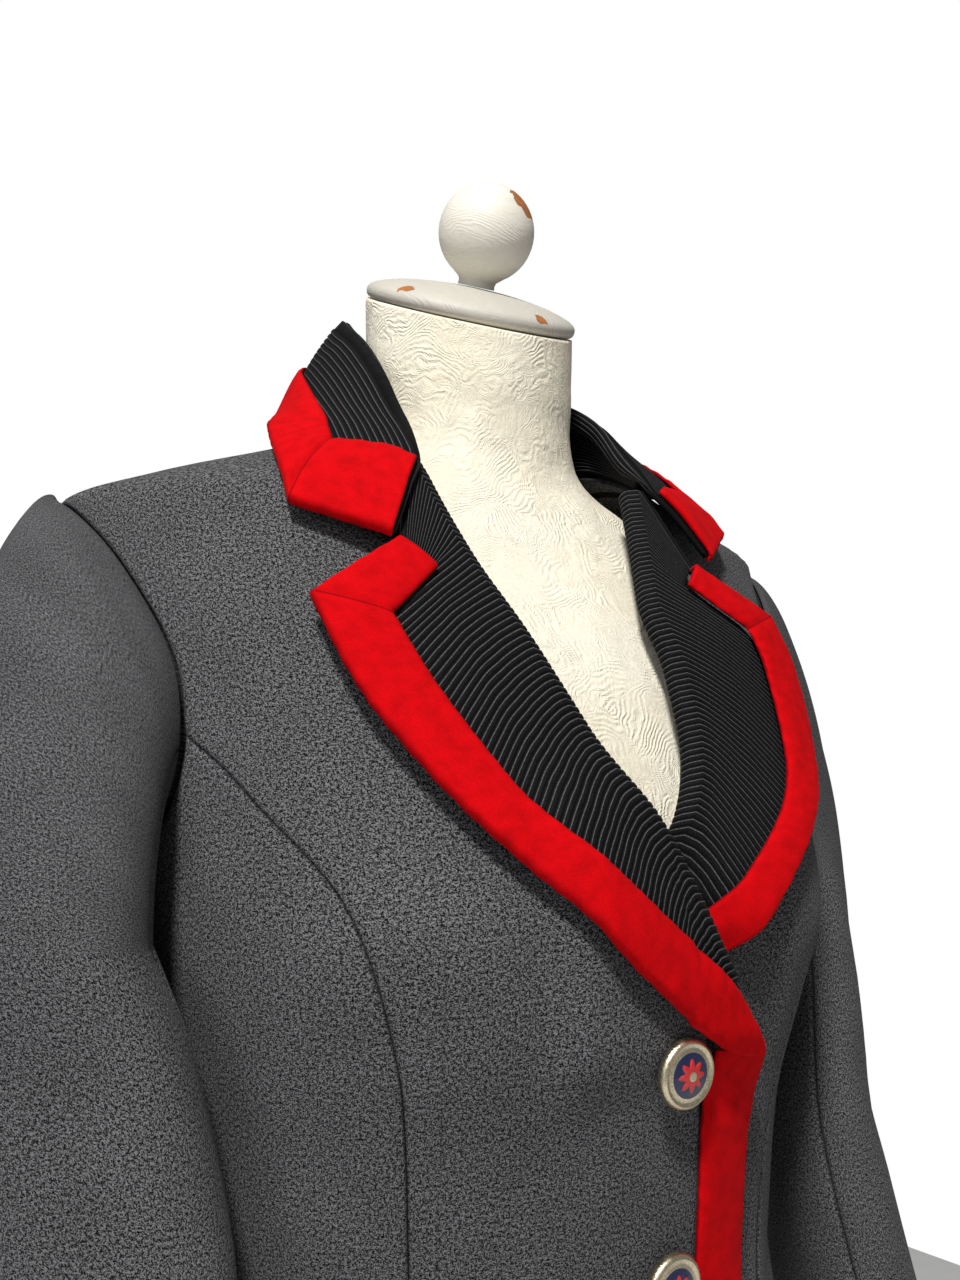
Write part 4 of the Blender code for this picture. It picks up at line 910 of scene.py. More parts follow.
def edged(name, rows, place, material, thick=0.0018, under=0.0010, seams=(), twist=None):
    """A velvet band along an edge: rows hold its inner line and its edge, seams the rows it is sewn at."""
    i, e = rows[:, :2], rows[:, 2:]

    def at(share, lift):
        p = i + (e - i) * share
        return place(p[:, 0], p[:, 1], np.zeros(len(p)) + lift)

    rim = at(1.0, 0.0)
    normal = unit(at(1.0, 0.001) - rim)
    out = rim - at(0.85, 0.0)
    out = unit(out - (out * normal).sum(-1, keepdims=True) * normal)
    run = lengths(rim[:, None], 0)[:, 0]
    shares = np.linspace(0, 0.97, 15)
    outer, inner = [], []
    for s in shares:
        pucker = 0.00022 * np.sin(run * 640 + 2 * np.sin(run * 90)) * np.exp(-((s - 0.06) / 0.16) ** 2)
        pucker += 0.00016 * np.sin(run * 520 + 1.0 + 2 * np.sin(run * 70)) * np.exp(-((s - 0.95) / 0.14) ** 2)
        pucker += 0.00022 * np.sin(run * 150 + 7 * s) * np.sin(run * 61)
        puff = 0.0010 * np.sin(np.pi * np.clip(s / 0.97, 0, 1)) ** 0.7 - 0.0009 * math.exp(-((s / 0.05) ** 2))
        for row in seams:
            puff = puff - 0.0009 * np.exp(-(((np.arange(len(rim)) - row) / 1.6) ** 2))
        if twist is not None:
            puff = puff + twist(s, run)
        outer.append(at(s, under + thick + puff + pucker))
        inner.append(at(s, under + (0.0 if s > 0.02 else 0.0002)))
    arc = ((0.0006, 0.0026), (0.0014, 0.0019), (0.0021, 0.0008), (0.0024, -0.0005), (0.0022, -0.0020))
    for a, n in arc:
        ripple = 0.00018 * np.sin(run * 520 + 1.0 + 2 * np.sin(run * 70))[:, None]
        outer.append(rim + (a + ripple) * out + (n + (under - 0.0010) * (n > 0)) * normal)
        inner.append(rim + (a * 0.25) * out + (min(n, 0.0006)) * normal)
    outer, inner = np.stack(outer, axis=1), np.stack(inner, axis=1)
    far = np.full(outer.shape[:2], 0.05)
    for row in seams:
        far = np.minimum(far, np.abs(run - np.interp(row, np.arange(len(run)), run))[:, None])
    place_on = np.stack([lengths(outer, 1), np.broadcast_to(run[:, None], outer.shape[:2])], -1)
    marks = np.stack([np.minimum(lengths(outer, 1), 0.05), far], -1)
    return shell(name, outer, inner, material, place_on, marks), outer


def build_trims(velvet):
    """The velvet bands of both lapels, of the right front's edge and of the collar."""
    for side, word in ((-1, "right"), (1, "left")):
        last = len(LAPEL_TRIM) - (1 if side < 0 else 3)
        rows = trim_rows(np.linspace(0, last, 14 * last + 1), side)

        def on_lapel(q, h, lift, side=side):
            return front_point(q, h, lapel_lift(q, h, side) + lift, side)

        under = 0.0017 if side < 0 else 0.0026
        piece, grid = edged("lapel_trim_" + word + "_cloth", rows, on_lapel, velvet, under=under, seams=(28,))
        sewn(piece, ["lapel_trim_" + word], grid)

    heights = np.array([h for h in PANEL_ROWS if h < -0.013][::-1])
    heights = finer(np.concatenate([[0.0030, -0.0060], heights]), 14)
    heights[-1] += 0.0002
    edge = FRONT_EDGE + 0.0030 + 0.0030 * step(heights, -0.045, -0.012)
    edge = edge - 0.0060 * step(heights, -0.010, 0.003)
    rows = np.stack([np.full_like(heights, FRONT_EDGE - BAND_WIDTH), heights, edge, heights], axis=1)

    def on_front(x, h, lift):
        angle = angle_at(x, h)
        return skin(angle, h) + (lift + right_lift(x, h))[:, None] * skin_normal(angle, h)

    def twisted(s, run):
        first = np.exp(-(((run - 0.012 - 0.020 * s) / 0.0028) ** 2))
        second = np.exp(-(((run - 0.030 - 0.012 * s) / 0.0034) ** 2))
        between = np.exp(-(((run - 0.0175 - 0.020 * s) / 0.003) ** 2))
        return 0.0010 * first - 0.0008 * between + 0.0006 * second

    piece, grid = edged("front_band_cloth", rows, on_front, velvet, under=0.0006, twist=twisted)
    sewn(piece, ["front_band"], grid)

    corner = COLLAR_ROWS[2]
    rows = [(corner * 0.9, 0.03, 0.0, 0.03), (corner, 0.2, 0.0, 0.35), (corner, 0.4, 0.0, 0.7)]
    rows += [(corner, 0.60, 0.0, 0.985), (0.095, 0.598, COLLAR_ROWS[1], 0.985), (0.105, 0.595, corner, 0.985)]
    mirrored = [(1 - a, b, 1 - c, d) for a, b, c, d in rows[::-1]]
    for s in COLLAR_ROWS[3:-3]:
        rows.append((s, 0.60 - 0.16 * math.sin(math.pi * s) ** 2, s, 0.985))
    rows = np.array(rows + mirrored)
    rows = np.stack([finer(rows[:, k], 10) for k in range(4)], axis=1)
    last = len(rows) - 1
    piece, grid = edged("collar_trim_cloth", rows, collar_point, velvet, under=0.0015, seams=(30, last - 30))
    sewn(piece, ["collar_trim"], grid)


def build_flap(velvet):
    """The flap of the breast pocket."""
    u, v = np.meshgrid(np.linspace(0, 1, 49), np.linspace(0, 1, 25), indexing="ij")
    corner = np.clip((np.abs(u - 0.5) - 0.40) / 0.10, 0, 1) * np.clip((v - 0.7) / 0.3, 0, 1)
    h = 0.128 + 0.004 * u - 0.024 * v + 0.004 * corner
    angle = angle_at(0.082 + 0.058 * u, h)
    normal, base = skin_normal(angle, h), skin(angle, h)
    sides = np.minimum(np.minimum(u, 1 - u) * 2.4, 1 - v) + 1e-6
    soft = 0.0009 * (1 - np.exp(-sides / 0.10)) - 0.0006
    ease = 0.0012 * np.sin(np.pi * u) * v
    outer = base + normal * (0.0028 + ease + soft + 0.0002 * np.sin(40 * u + 9 * v))[..., None]
    inner = base + normal * (0.0004 + ease)[..., None]
    place = np.stack([0.058 * u, 0.024 * v], -1)
    marks = np.stack([rim_distance(outer), np.full(u.shape, 0.05)], -1)
    piece = shell("breast_pocket_flap_cloth", outer, inner, velvet, place, marks)
    sewn(piece, ["breast_pocket_flap"], outer)


def build_collar(sizes, pleated):
    """The collar's fall and its stand, pleated along their length."""
    s = finer(COLLAR_ROWS, 7)
    per = len(PLEAT)

    def rolled(steps, extra, drop):
        point, across, out, _ = collar_frame(s)
        grow = step(np.minimum(s, 1 - s), 0.075, 0.15)[:, None]
        steps, points = np.array(steps), []
        for at in finer(np.arange(len(steps)), 10)[:-1]:
            a, n = (np.interp(at, np.arange(len(steps)), steps[:, k]) for k in range(2))
            wave = extra * PLEAT[int(round(at * 10)) % per] * 1000
            flat = across * 0.0002 * at - out * drop
            way = np.array([a - 1.0, n + 3.6])
            way = way / np.hypot(*way)
            bent = across * (a + wave * way[0]) + out * (n + wave * way[1])
            points.append(point + bent * grow / 1000 + flat * (1 - grow))
        return np.stack(points, axis=1)

    def fall(columns, lifts):
        places, down = np.meshgrid(s, columns, indexing="ij")
        return collar_point(places, down, np.broadcast_to(lifts, places.shape))

    columns = np.linspace(0.03, 0.985, RIBS_COLLAR * per + 1)
    pleat = PLEAT[np.arange(len(columns)) % per] * sizes.pleat_rise
    outer = np.concatenate([rolled(COLLAR_OUTSIDE, sizes.pleat_rise, 0.0), fall(columns, pleat)], axis=1)
    inner = np.concatenate([rolled(COLLAR_INSIDE, 0.0, 0.002), fall(columns, -0.0018)], axis=1)
    rows = np.concatenate([np.arange(-30, 0) / per, np.arange(len(columns)) / per])
    along = np.broadcast_to(s[:, None] * 0.5, outer.shape[:2])
    place = np.stack([along, np.broadcast_to(rows, outer.shape[:2])], -1)
    marks = np.stack([rim_distance(outer), np.full(outer.shape[:2], -1.0)], -1)
    piece = shell("collar_cloth", outer, inner, pleated, place, marks)
    sewn(piece, ["collar"], outer)

    s = finer(COLLAR_ROWS[3:-3], 7)
    point, across, out, _ = collar_frame(s)
    top = point + across * 0.0112 - out * 0.0040
    turn = np.arctan2(point[:, 0], -(point[:, 1] - 0.010))
    low = skin(turn, neck_height(np.abs(turn)) + 0.0012)
    below = neck_height(np.abs(turn)) - 0.006
    facing = skin_normal(turn, below)
    hem = skin(turn, below) - 0.0027 * facing
    side = unit(np.cross(np.gradient(top, axis=0), top - low))
    t = np.linspace(0, 1, 11 * per + 1)
    wave = (PLEAT[np.arange(len(t)) % per] - 0.5) * sizes.pleat_rise
    grid = low[:, None] + (top - low)[:, None] * t[None, :, None]
    outer = grid + side[:, None] * (0.0007 + wave)[None, :, None]
    inner = grid - side[:, None] * (0.0007 + wave)[None, :, None]
    facing = 0.0004 * facing * np.sign((facing * side).sum())
    outer = np.concatenate([(hem + facing)[:, None], outer], axis=1)
    inner = np.concatenate([(hem - facing)[:, None], inner], axis=1)
    rows = np.broadcast_to(np.arange(-1, len(t)) / per, outer.shape[:2])
    place = np.stack([np.broadcast_to(s[:, None] * 0.5, outer.shape[:2]), rows], -1)
    piece = shell("collar_stand_cloth", outer, inner, pleated, place)
    sewn(piece, ["collar_stand"], outer)


def clear_selection():
    """Nothing selected, so that the next tool acts on its own piece alone."""
    for thing in bpy.context.view_layer.objects:
        thing.select_set(False)


def drawn_up(name, profile, steps, material):
    """A round solid about its own axis: a disc extruded and scaled ring by ring along (radius, level)."""
    clear_selection()
    radius, level = profile[0]
    bpy.ops.mesh.primitive_circle_add(vertices=steps, radius=radius, fill_type="NGON", location=(0, 0, level))
    piece = bpy.context.object
    piece.name = piece.data.name = name
    bpy.ops.object.transform_apply(location=True, rotation=True, scale=True)
    bpy.ops.object.mode_set(mode="EDIT")
    bpy.ops.mesh.select_all(action="SELECT")
    for (r1, z1), (r2, z2) in zip(profile[:-1], profile[1:]):
        bpy.ops.mesh.extrude_region_move(TRANSFORM_OT_translate={"value": (0, 0, z2 - z1)})
        bpy.ops.transform.resize(value=(r2 / r1, r2 / r1, 1), center_override=(0, 0, z2))
    bpy.ops.mesh.select_all(action="SELECT")
    bpy.ops.mesh.normals_make_consistent(inside=False)
    bpy.ops.object.mode_set(mode="OBJECT")
    piece.data.materials.append(material)
    return piece


def local_place(piece):
    """Keeps each point's own place on the piece, for patterns that must stay with it."""
    spots = np.empty(len(piece.data.vertices) * 3)
    piece.data.vertices.foreach_get("co", spots)
    piece.data.attributes.new("place", "FLOAT_VECTOR", "POINT").data.foreach_set("vector", spots)


def put(piece, centre, axis, angle):
    """Moves a finished piece to its place, with its object at the origin, and smooths it."""
    clear_selection()
    piece.select_set(True)
    bpy.context.view_layer.objects.active = piece
    bpy.ops.object.shade_smooth_by_angle(angle=math.radians(angle))
    turn = Vector(axis).to_track_quat("Z", "Y").to_matrix().to_4x4()
    piece.matrix_world = Matrix.Translation(Vector(centre)) @ turn
    bpy.ops.object.transform_apply(location=True, rotation=True, scale=True)


def petal_relief(x, y):
    """How far the rosette on a button's face stands up, from 0 to 1."""
    radius, turn = np.hypot(x, y), np.arctan2(y, x)
    lobes = 0.5 + 0.5 * np.cos(PETALS * turn)
    petal = step(0.0063 * (0.62 + 0.38 * lobes) - radius, 0.0, 0.0006) * step(radius, 0.0016, 0.0021)
    eye = step(0.0018 - radius, 0.0, 0.0003)
    return np.maximum(petal * 0.8, eye)


def build_buttons(brass):
    """The six metal buttons: one is modelled and copied."""
    first = drawn_up("button_master", metres(BUTTON_PROFILE), RIM_STEPS, brass)
    for vertex in first.data.vertices:
        x, y, z = vertex.co
        radius = math.hypot(x, y)
        if radius > 0.0122 and 0.0033 < z < 0.0062:
            ring = round((math.atan2(y, x) / (2 * math.pi)) * RIM_STEPS)
            vertex.co.xy *= 1.018 if ring % 2 else 0.985
        if radius < 0.0098 and z > 0.006:
            vertex.co.z += 0.0007 * float(petal_relief(x, y))
            vertex.co.z += 0.00012 * math.sin(4200 * x) * math.sin(4200 * y) * (radius > ENAMEL_RADIUS)
    local_place(first)
    for k in range(BUTTONS):
        name = "button_%d" % (k + 1)
        piece = first.copy()
        piece.data = first.data.copy()
        piece.name = name + "_metal"
        bpy.context.scene.collection.objects.link(piece)
        h = -0.002 - BUTTON_PITCH * k
        normal = skin_normal(float(angle_at(0.0, h)), h)
        corners = np.array([tuple(v.co) for v in frame["nodes"][name].data.vertices])
        centre = corners.mean(axis=0)
        low = ((corners - centre) @ normal).min()
        put(piece, centre + low * normal, normal, 35.0)
        hard(piece, [name])
    bpy.data.objects.remove(first, do_unlink=True)


def build_torso(looks, axis):
    """The plastered torso with its neck cut square to the cap's axis."""
    turns = np.linspace(0, 2 * math.pi, 144, endpoint=False)
    levels = np.concatenate([np.linspace(-0.360, 0.190, 70), np.linspace(0.1925, 0.285, 46)])
    grid = [form_point(turns, np.full_like(turns, h)) for h in levels]
    centre = np.array(CAP_CENTRE) + (0, 0, BUTTON_HEIGHT) - axis * 0.0004
    heights = np.full_like(turns, 0.345)
    for _ in range(12):
        heights = heights - ((form_point(turns, heights) - centre) @ axis) / axis[2]
    rise = form_point(turns, heights) - grid[-1]
    grid = np.stack(grid + [grid[-1] + rise * share for share in np.linspace(0, 1, 31)[1:]])
    along = np.roll(grid, -1, 1) - np.roll(grid, 1, 1)
    normal = unit(np.cross(along, np.gradient(grid, axis=0)))
    x, y, z = grid[..., 0], grid[..., 1], grid[..., 2]
    relief = np.zeros(x.shape)
    for a, b, c, phase, size in PLASTER_WAVES:
        relief += size * np.sin(a * x + b * y + c * z + phase + 1.7 * np.sin(c * x - a * z + phase))
    fade = np.clip(np.arange(len(grid))[::-1] / 4, 0, 1)[:, None]
    grid = grid + (relief * fade)[..., None] * normal
    m, n = grid.shape[:2]
    points = np.concatenate([grid.reshape(-1, 3), [grid[0].mean(axis=0), grid[-1].mean(axis=0)]])
    index = np.arange(m * n).reshape(m, n)
    after = np.roll(index, -1, 1)
    faces = np.stack([index[:-1], after[:-1], after[1:], index[1:]], -1).reshape(-1, 4).tolist()
    faces += [(after[0, k], index[0, k], m * n) for k in range(n)]
    faces += [(index[-1, k], after[-1, k], m * n + 1) for k in range(n)]
    faces = [[int(i) for i in face] for face in faces]
    piece = new_piece("dress_form_plaster", points, faces, plaster_material(looks))
    hard(piece, ["dress_form"])


def build_form(looks):
    """The torso, its cap and its finial, the pole and the foot."""
    axis = np.array([0.0, -math.sin(CAP_TILT), math.cos(CAP_TILT)])
    build_torso(looks, axis)
    top = np.array(CAP_CENTRE) + (0, 0, BUTTON_HEIGHT)
    ball = [(0.0095, 0.0155), (0.0092, 0.0172), (0.0097, 0.0190)]
    for turn in np.radians(-64 + 153.2 * np.arange(1, 25) / 24):
        ball.append((BALL_RADIUS * math.cos(turn), 0.0418 + BALL_RADIUS * math.sin(turn)))
    # One paint in two copies: the cap's is darker (0.76), as painted shade for its brightly lit top, and the
    # ball's is lighter (1.08), as painted light.
    cap_paint = painted_material("painted_cap", looks, CAP_CHIPS, (1.0, 0.35, 1.0), 0.76)
    ball_paint = painted_material("painted_ball", looks, BALL_CHIPS, (0.35, 0.6, 1.4), 1.08)
    for name, node, profile, steps, paint in (
        ("neck_cap_wood", "neck_cap", metres(CAP_PROFILE), 128, cap_paint),
        ("finial_wood", "finial", ball, 96, ball_paint),
    ):
        piece = drawn_up(name, profile, steps, paint)
        local_place(piece)
        put(piece, top, axis, 60.0)
        hard(piece, [node])
    stained = stained_material(looks)
    for node, profile, steps in (("pole", POLE_PROFILE, 64), ("foot_base", FOOT_PROFILE, 128)):
        piece = drawn_up(node + "_wood", metres(profile), steps, stained)
        put(piece, (0, 0, 0), (0, 0, 1), 50.0)
        hard(piece, [node])


class Graph:
    """A node tree with short ways to add to it."""

    def __init__(self, tree):
        self.tree = tree

    def fill(self, made, inputs):
        """Each input is set to a plain value or joined to an output."""
        for key, value in inputs.items():
            if isinstance(value, bpy.types.NodeSocket):
                self.tree.links.new(value, made.inputs[key])
            else:
                made.inputs[key].default_value = value
        return made

    def add(self, kind, inputs, **options):
        """A node with its options and inputs."""
        made = self.tree.nodes.new("ShaderNode" + kind)
        for key, value in options.items():
            setattr(made, key, value)
        return self.fill(made, inputs)

    def math(self, operation, a, b=0.5, c=0.5):
        """The result of one step of arithmetic."""
        return self.add("Math", {0: a, 1: b, 2: c}, operation=operation).outputs[0]

    def times(self, a, b):
        """A product."""
        return self.math("MULTIPLY", a, b)

    def vector(self, operation, a, b):
        """The result of one step of vector arithmetic."""
        second = "Scale" if operation == "SCALE" else 1
        made = self.add("VectorMath", {0: a, second: b}, operation=operation)
        return made.outputs["Value" if operation == "DISTANCE" else "Vector"]

    def noise(self, place, scale, detail, roughness=0.5):
        """Noise from 0 to 1."""
        inputs = {"Vector": place, "Scale": scale, "Detail": detail, "Roughness": roughness}
        return self.add("TexNoise", inputs).outputs[0]

    def ramp(self, value, *stops):
        """Greys along a value."""
        made = self.add("ValToRGB", {"Fac": value})
        bar = made.color_ramp
        while len(bar.elements) < len(stops):
            bar.elements.new(0.5)
        for element, (place, grey) in zip(bar.elements, stops):
            element.position = place
            element.color = (grey, grey, grey, 1)
        return made.outputs["Color"]

    def mix(self, share, first, second, how="MIX"):
        """Two colours mixed."""
        pair = (v if isinstance(v, bpy.types.NodeSocket) else (*v, 1) for v in (first, second))
        made = self.add("Mix", {0: share}, data_type="RGBA", blend_type=how)
        return self.fill(made, dict(zip((6, 7), pair))).outputs[2]

    def group(self, name, **inputs):
        """The outputs of a shared group placed here."""
        made = self.tree.nodes.new("ShaderNodeGroup")
        made.node_tree = bpy.data.node_groups[name]
        return self.fill(made, inputs).outputs

    def bump(self, height, strength, distance, *normal):
        """A relief from a height, over another relief or none."""
        inputs = {"Height": height, "Strength": strength, "Distance": distance}
        inputs.update(zip(("Normal",), normal))
        return self.add("Bump", inputs).outputs[0]

    def channel(self, vector, which):
        """One part of a vector."""
        return self.add("SeparateXYZ", {0: vector}).outputs[which]

    def seam(self, which, width):
        """A dark line along one of the distances that a cloth piece keeps."""
        marks = self.add("UVMap", {}, uv_map="marks").outputs[0]
        return self.group("Seam", Distance=self.channel(marks, which), Width=width)["Mask"]

    def cloth(self):
        """The place along a cloth piece."""
        return self.add("UVMap", {}, uv_map="cloth").outputs[0]

    def own_place(self):
        """The place that a turned piece keeps from before it was put."""
        return self.add("Attribute", {}, attribute_name="place").outputs["Vector"]

    def object_place(self):
        """The place in the object's own space."""
        return self.add("TexCoord", {}).outputs["Object"]


def tinted(colour, *factors):
    """A colour made darker or lighter, by one factor or by one for each channel."""
    return tuple(c * f for c, f in zip(colour, factors * 3 if len(factors) == 1 else factors))


def new_group(name, inputs, outputs):
    """An empty node group: its graph, its inputs and the node that takes its outputs."""
    tree = bpy.data.node_groups.new(name, "ShaderNodeTree")
    for title, value in inputs.items():
        kind = "Vector" if value is None else "Float"
        socket = tree.interface.new_socket(name=title, in_out="INPUT", socket_type="NodeSocket" + kind)
        if value is not None:
            socket.default_value = value
    for title in outputs:
        tree.interface.new_socket(name=title, in_out="OUTPUT", socket_type="NodeSocketFloat")
    return Graph(tree), tree.nodes.new("NodeGroupInput").outputs, tree.nodes.new("NodeGroupOutput")


def build_nap_group():
    """The nap of a cloth: salt-and-pepper grain, wide mottling and a height."""
    graph, got, gives = new_group(
        "Nap", {"Vector": None, "Scale": 900.0, "Patch": 28.0}, ("Grain", "Mottle", "Height")
    )
    coarse = graph.noise(got["Vector"], got["Scale"], 3.0, 0.75)
    fine = graph.noise(got["Vector"], graph.times(got["Scale"], 2.3), 1.0)
    height = graph.math("MULTIPLY_ADD", fine, 0.45, graph.times(coarse, 0.55))
    grain = graph.ramp(height, (0.43, 0.0), (0.50, 0.34), (0.57, 1.0))
    mottle = graph.noise(got["Vector"], got["Patch"], 2.0)
    graph.fill(gives, {"Grain": grain, "Mottle": mottle, "Height": height})


def build_seam_group():
    """A mask that is 1 at a seam and fades out over a width."""
    graph, got, gives = new_group("Seam", {"Distance": 0.05, "Width": 0.0009}, ("Mask",))
    inputs = {
        "Value": got["Distance"], "From Min": 0.0, "From Max": got["Width"], "To Min": 1.0, "To Max": 0.0,
    }
    graph.fill(gives, {"Mask": graph.add("MapRange", inputs).outputs[0]})


def build_strokes_group():
    """Curved strokes: in each cell of a cell pattern, arcs about a point of its own."""
    graph, got, gives = new_group(
        "Strokes", {"Vector": None, "Scale": 26.0, "Pitch": 0.0016}, ("Mask", "Height")
    )
    place, scale = got["Vector"], got["Scale"]
    inputs = {"Vector": place, "Scale": graph.times(scale, 1.3), "Detail": 2.0}
    shove = graph.vector("SCALE", graph.add("TexNoise", inputs).outputs["Color"], 0.028)
    moved = graph.vector("ADD", place, shove)
    cell = graph.add("TexVoronoi", {"Vector": moved, "Scale": scale, "Randomness": 1.0}).outputs
    pivot = graph.vector("ADD", cell["Position"], graph.vector("SCALE", cell["Color"], 0.11))
    pivot = graph.vector("ADD", pivot, (-0.055, -0.055, -0.055))
    reach = graph.vector("DISTANCE", moved, pivot)
    turns = graph.math("DIVIDE", graph.times(reach, 6.283), got["Pitch"])
    turns = graph.math("MULTIPLY_ADD", graph.noise(moved, 170.0, 2.0), 7.0, turns)
    comb = graph.math("MULTIPLY_ADD", graph.math("SINE", turns), 0.5, 0.5)
    where = graph.noise(place, graph.times(scale, 1.9), 3.0)
    comb = graph.times(comb, graph.ramp(where, (0.40, 0.15), (0.62, 1.0)))
    gouge = graph.noise(moved, graph.times(scale, 5.0), 5.0, 0.7)
    height = graph.math("MULTIPLY_ADD", comb, 0.42, graph.times(gouge, 1.1))
    graph.fill(gives, {"Mask": graph.ramp(height, (0.38, 0.0), (0.85, 1.0)), "Height": height})


def build_chip_group():
    """A mask of one chip in the paint, ragged at its edge."""
    graph, got, gives = new_group("Chip", {"Vector": None, "Centre": None, "Radius": 0.004}, ("Mask",))
    gap = graph.vector("DISTANCE", got["Vector"], got["Centre"])
    rough = graph.math("MULTIPLY_ADD", graph.noise(got["Vector"], 260.0, 4.0), 0.006, gap)
    edge = graph.math("SUBTRACT", graph.math("ADD", got["Radius"], 0.003), rough)
    graph.fill(gives, {"Mask": graph.times(edge, 2500.0)})


def new_material(name):
    """An empty material, its graph and its shader."""
    material = bpy.data.materials.new(name)
    material.use_nodes = True
    return material, Graph(material.node_tree), material.node_tree.nodes["Principled BSDF"]


def wool_material(looks):
    """Milled grey wool: a salt-and-pepper nap, soft mottling and dark seams."""
    material, graph, shader = new_material("milled_wool")
    nap = graph.group("Nap", Vector=graph.cloth(), Scale=800.0, Patch=26.0)
    colour = graph.mix(nap["Grain"], tinted(looks.wool, 0.03), tinted(looks.wool, 3.2))
    colour = graph.mix(1.0, colour, graph.ramp(nap["Mottle"], (0.25, 0.86), (0.75, 1.10)), "MULTIPLY")
    colour = graph.mix(graph.times(graph.seam(0, 0.0011), 0.75), colour, (0.006, 0.006, 0.007))
    dart = graph.seam(1, 0.0012)
    colour = graph.mix(graph.times(dart, 0.35), colour, (0.010, 0.010, 0.011))
    relief = graph.bump(dart, -0.4, 0.0005, graph.bump(nap["Height"], 0.8, 0.0008))
    graph.fill(shader, {
        "Base Color": colour, "Normal": relief, "Roughness": 1.0, "Specular IOR Level": 0.06,
        "Sheen Weight": 0.05, "Sheen Roughness": 0.5, "Sheen Tint": (0.80, 0.82, 0.90, 1),
    })
    return material


def velvet_material(looks):
    """Red velvet: a deep pile that shifts between bright and dark with its lie."""
    material, graph, shader = new_material("pile_velvet")
    nap = graph.group("Nap", Vector=graph.cloth(), Scale=900.0, Patch=130.0)
    lie = graph.ramp(nap["Mottle"], (0.30, 0.82), (0.50, 0.98), (0.72, 1.10))
    base = graph.mix(nap["Grain"], tinted(looks.velvet, 0.90), tinted(looks.velvet, 1.08))
    worn = graph.math("MAXIMUM", graph.seam(1, 0.0009), graph.seam(0, 0.0008))
    colour = graph.mix(1.0, base, lie, "MULTIPLY")
    graph.fill(shader, {
        "Base Color": graph.mix(graph.times(worn, 0.75), colour, (0.12, 0.0, 0.002)),
        "Normal": graph.bump(nap["Height"], 0.25, 0.0005), "Roughness": 0.95, "Specular IOR Level": 0.08,
        "Sheen Weight": 0.12, "Sheen Roughness": 0.35, "Sheen Tint": (1.0, 0.02, 0.03, 1),
    })
    return material


def pleated_material(looks):
    """Black pleated cloth: grainy ridges, a painted highlight as a pale line along each fold, and painted
    shade at the low edge of each pleat.
    """
    material, graph, shader = new_material("pleated_cloth")
    cloth = graph.cloth()
    row = graph.math("FRACT", graph.channel(cloth, 1))
    metres = graph.vector("MULTIPLY", cloth, (1.0, 0.0026, 1.0))
    nap = graph.group("Nap", Vector=metres, Scale=1300.0, Patch=90.0)
    wander = graph.math("MULTIPLY_ADD", nap["Mottle"], 0.16, row)
    # Painted highlight: a pale line along each fold where light would catch it, broken up by the grain.
    line = graph.ramp(wander, (0.72, 0.0), (0.79, 1.0), (0.85, 0.9), (0.91, 0.0))
    # Painted shade: the cloth turns near black at the low foot of each pleat, where shade falls between the
    # ridges.
    painted_groove_shade = graph.ramp(row, (0.03, 1.0), (0.26, 0.0), (0.88, 0.0), (0.97, 1.0))
    fleck = graph.ramp(nap["Grain"], (0.0, 0.35), (0.6, 1.0))
    colour = graph.mix(nap["Grain"], tinted(looks.pleats, 0.35), tinted(looks.pleats, 2.2))
    colour = graph.mix(graph.times(line, fleck), colour, looks.painted_pleat_highlight)
    graph.fill(shader, {
        "Base Color": graph.mix(painted_groove_shade, colour, (0.0008, 0.0008, 0.001)),
        "Normal": graph.bump(nap["Height"], 0.4, 0.0004), "Roughness": 0.80, "Specular IOR Level": 0.10,
        "Sheen Weight": 0.01, "Sheen Roughness": 0.4, "Sheen Tint": (0.9, 0.9, 1.0, 1),
    })
    return material


def brass_material(looks):
    """A button: pale gold metal with an enamelled rosette."""
    material, graph, shader = new_material("enamelled_metal")
    place = graph.own_place()
    x, y = graph.channel(place, 0), graph.channel(place, 1)
    radius = graph.math("SQRT", graph.math("ADD", graph.times(x, x), graph.times(y, y)))
    turn = graph.times(graph.math("ARCTAN2", y, x), float(PETALS))

    def within(limit, sharp, full):
        """1 inside a radius and 0 outside it."""
        return graph.ramp(graph.times(graph.math("SUBTRACT", limit, radius), sharp), (0.0, 0.0), (full, 1.0))

    lobes = graph.math("MULTIPLY_ADD", graph.math("COSINE", turn), 0.0012, 0.0051)
    petal, eye = within(lobes, 3000.0, 0.6), within(0.0018, 4000.0, 0.5)
    face = within(ENAMEL_RADIUS, 4000.0, 0.5)
    nap = graph.group("Nap", Vector=place, Scale=1700.0, Patch=300.0)
    gold = graph.mix(nap["Grain"], tinted(looks.brass, 0.55), looks.brass)
    colour = graph.mix(graph.times(petal, face), graph.mix(face, gold, looks.enamel), looks.enamel_red)
    glass = graph.times(face, graph.math("SUBTRACT", 1.0, eye))
    graph.fill(shader, {
        "Base Color": graph.mix(eye, colour, (0.75, 0.66, 0.42)),
        "Metallic": graph.math("SUBTRACT", 1.0, glass),
        "Roughness": graph.math("MULTIPLY_ADD", nap["Mottle"], 0.25, 0.18),
        "Coat Weight": graph.times(face, 0.6), "Normal": graph.bump(nap["Height"], 0.35, 0.0004),
    })
    return material


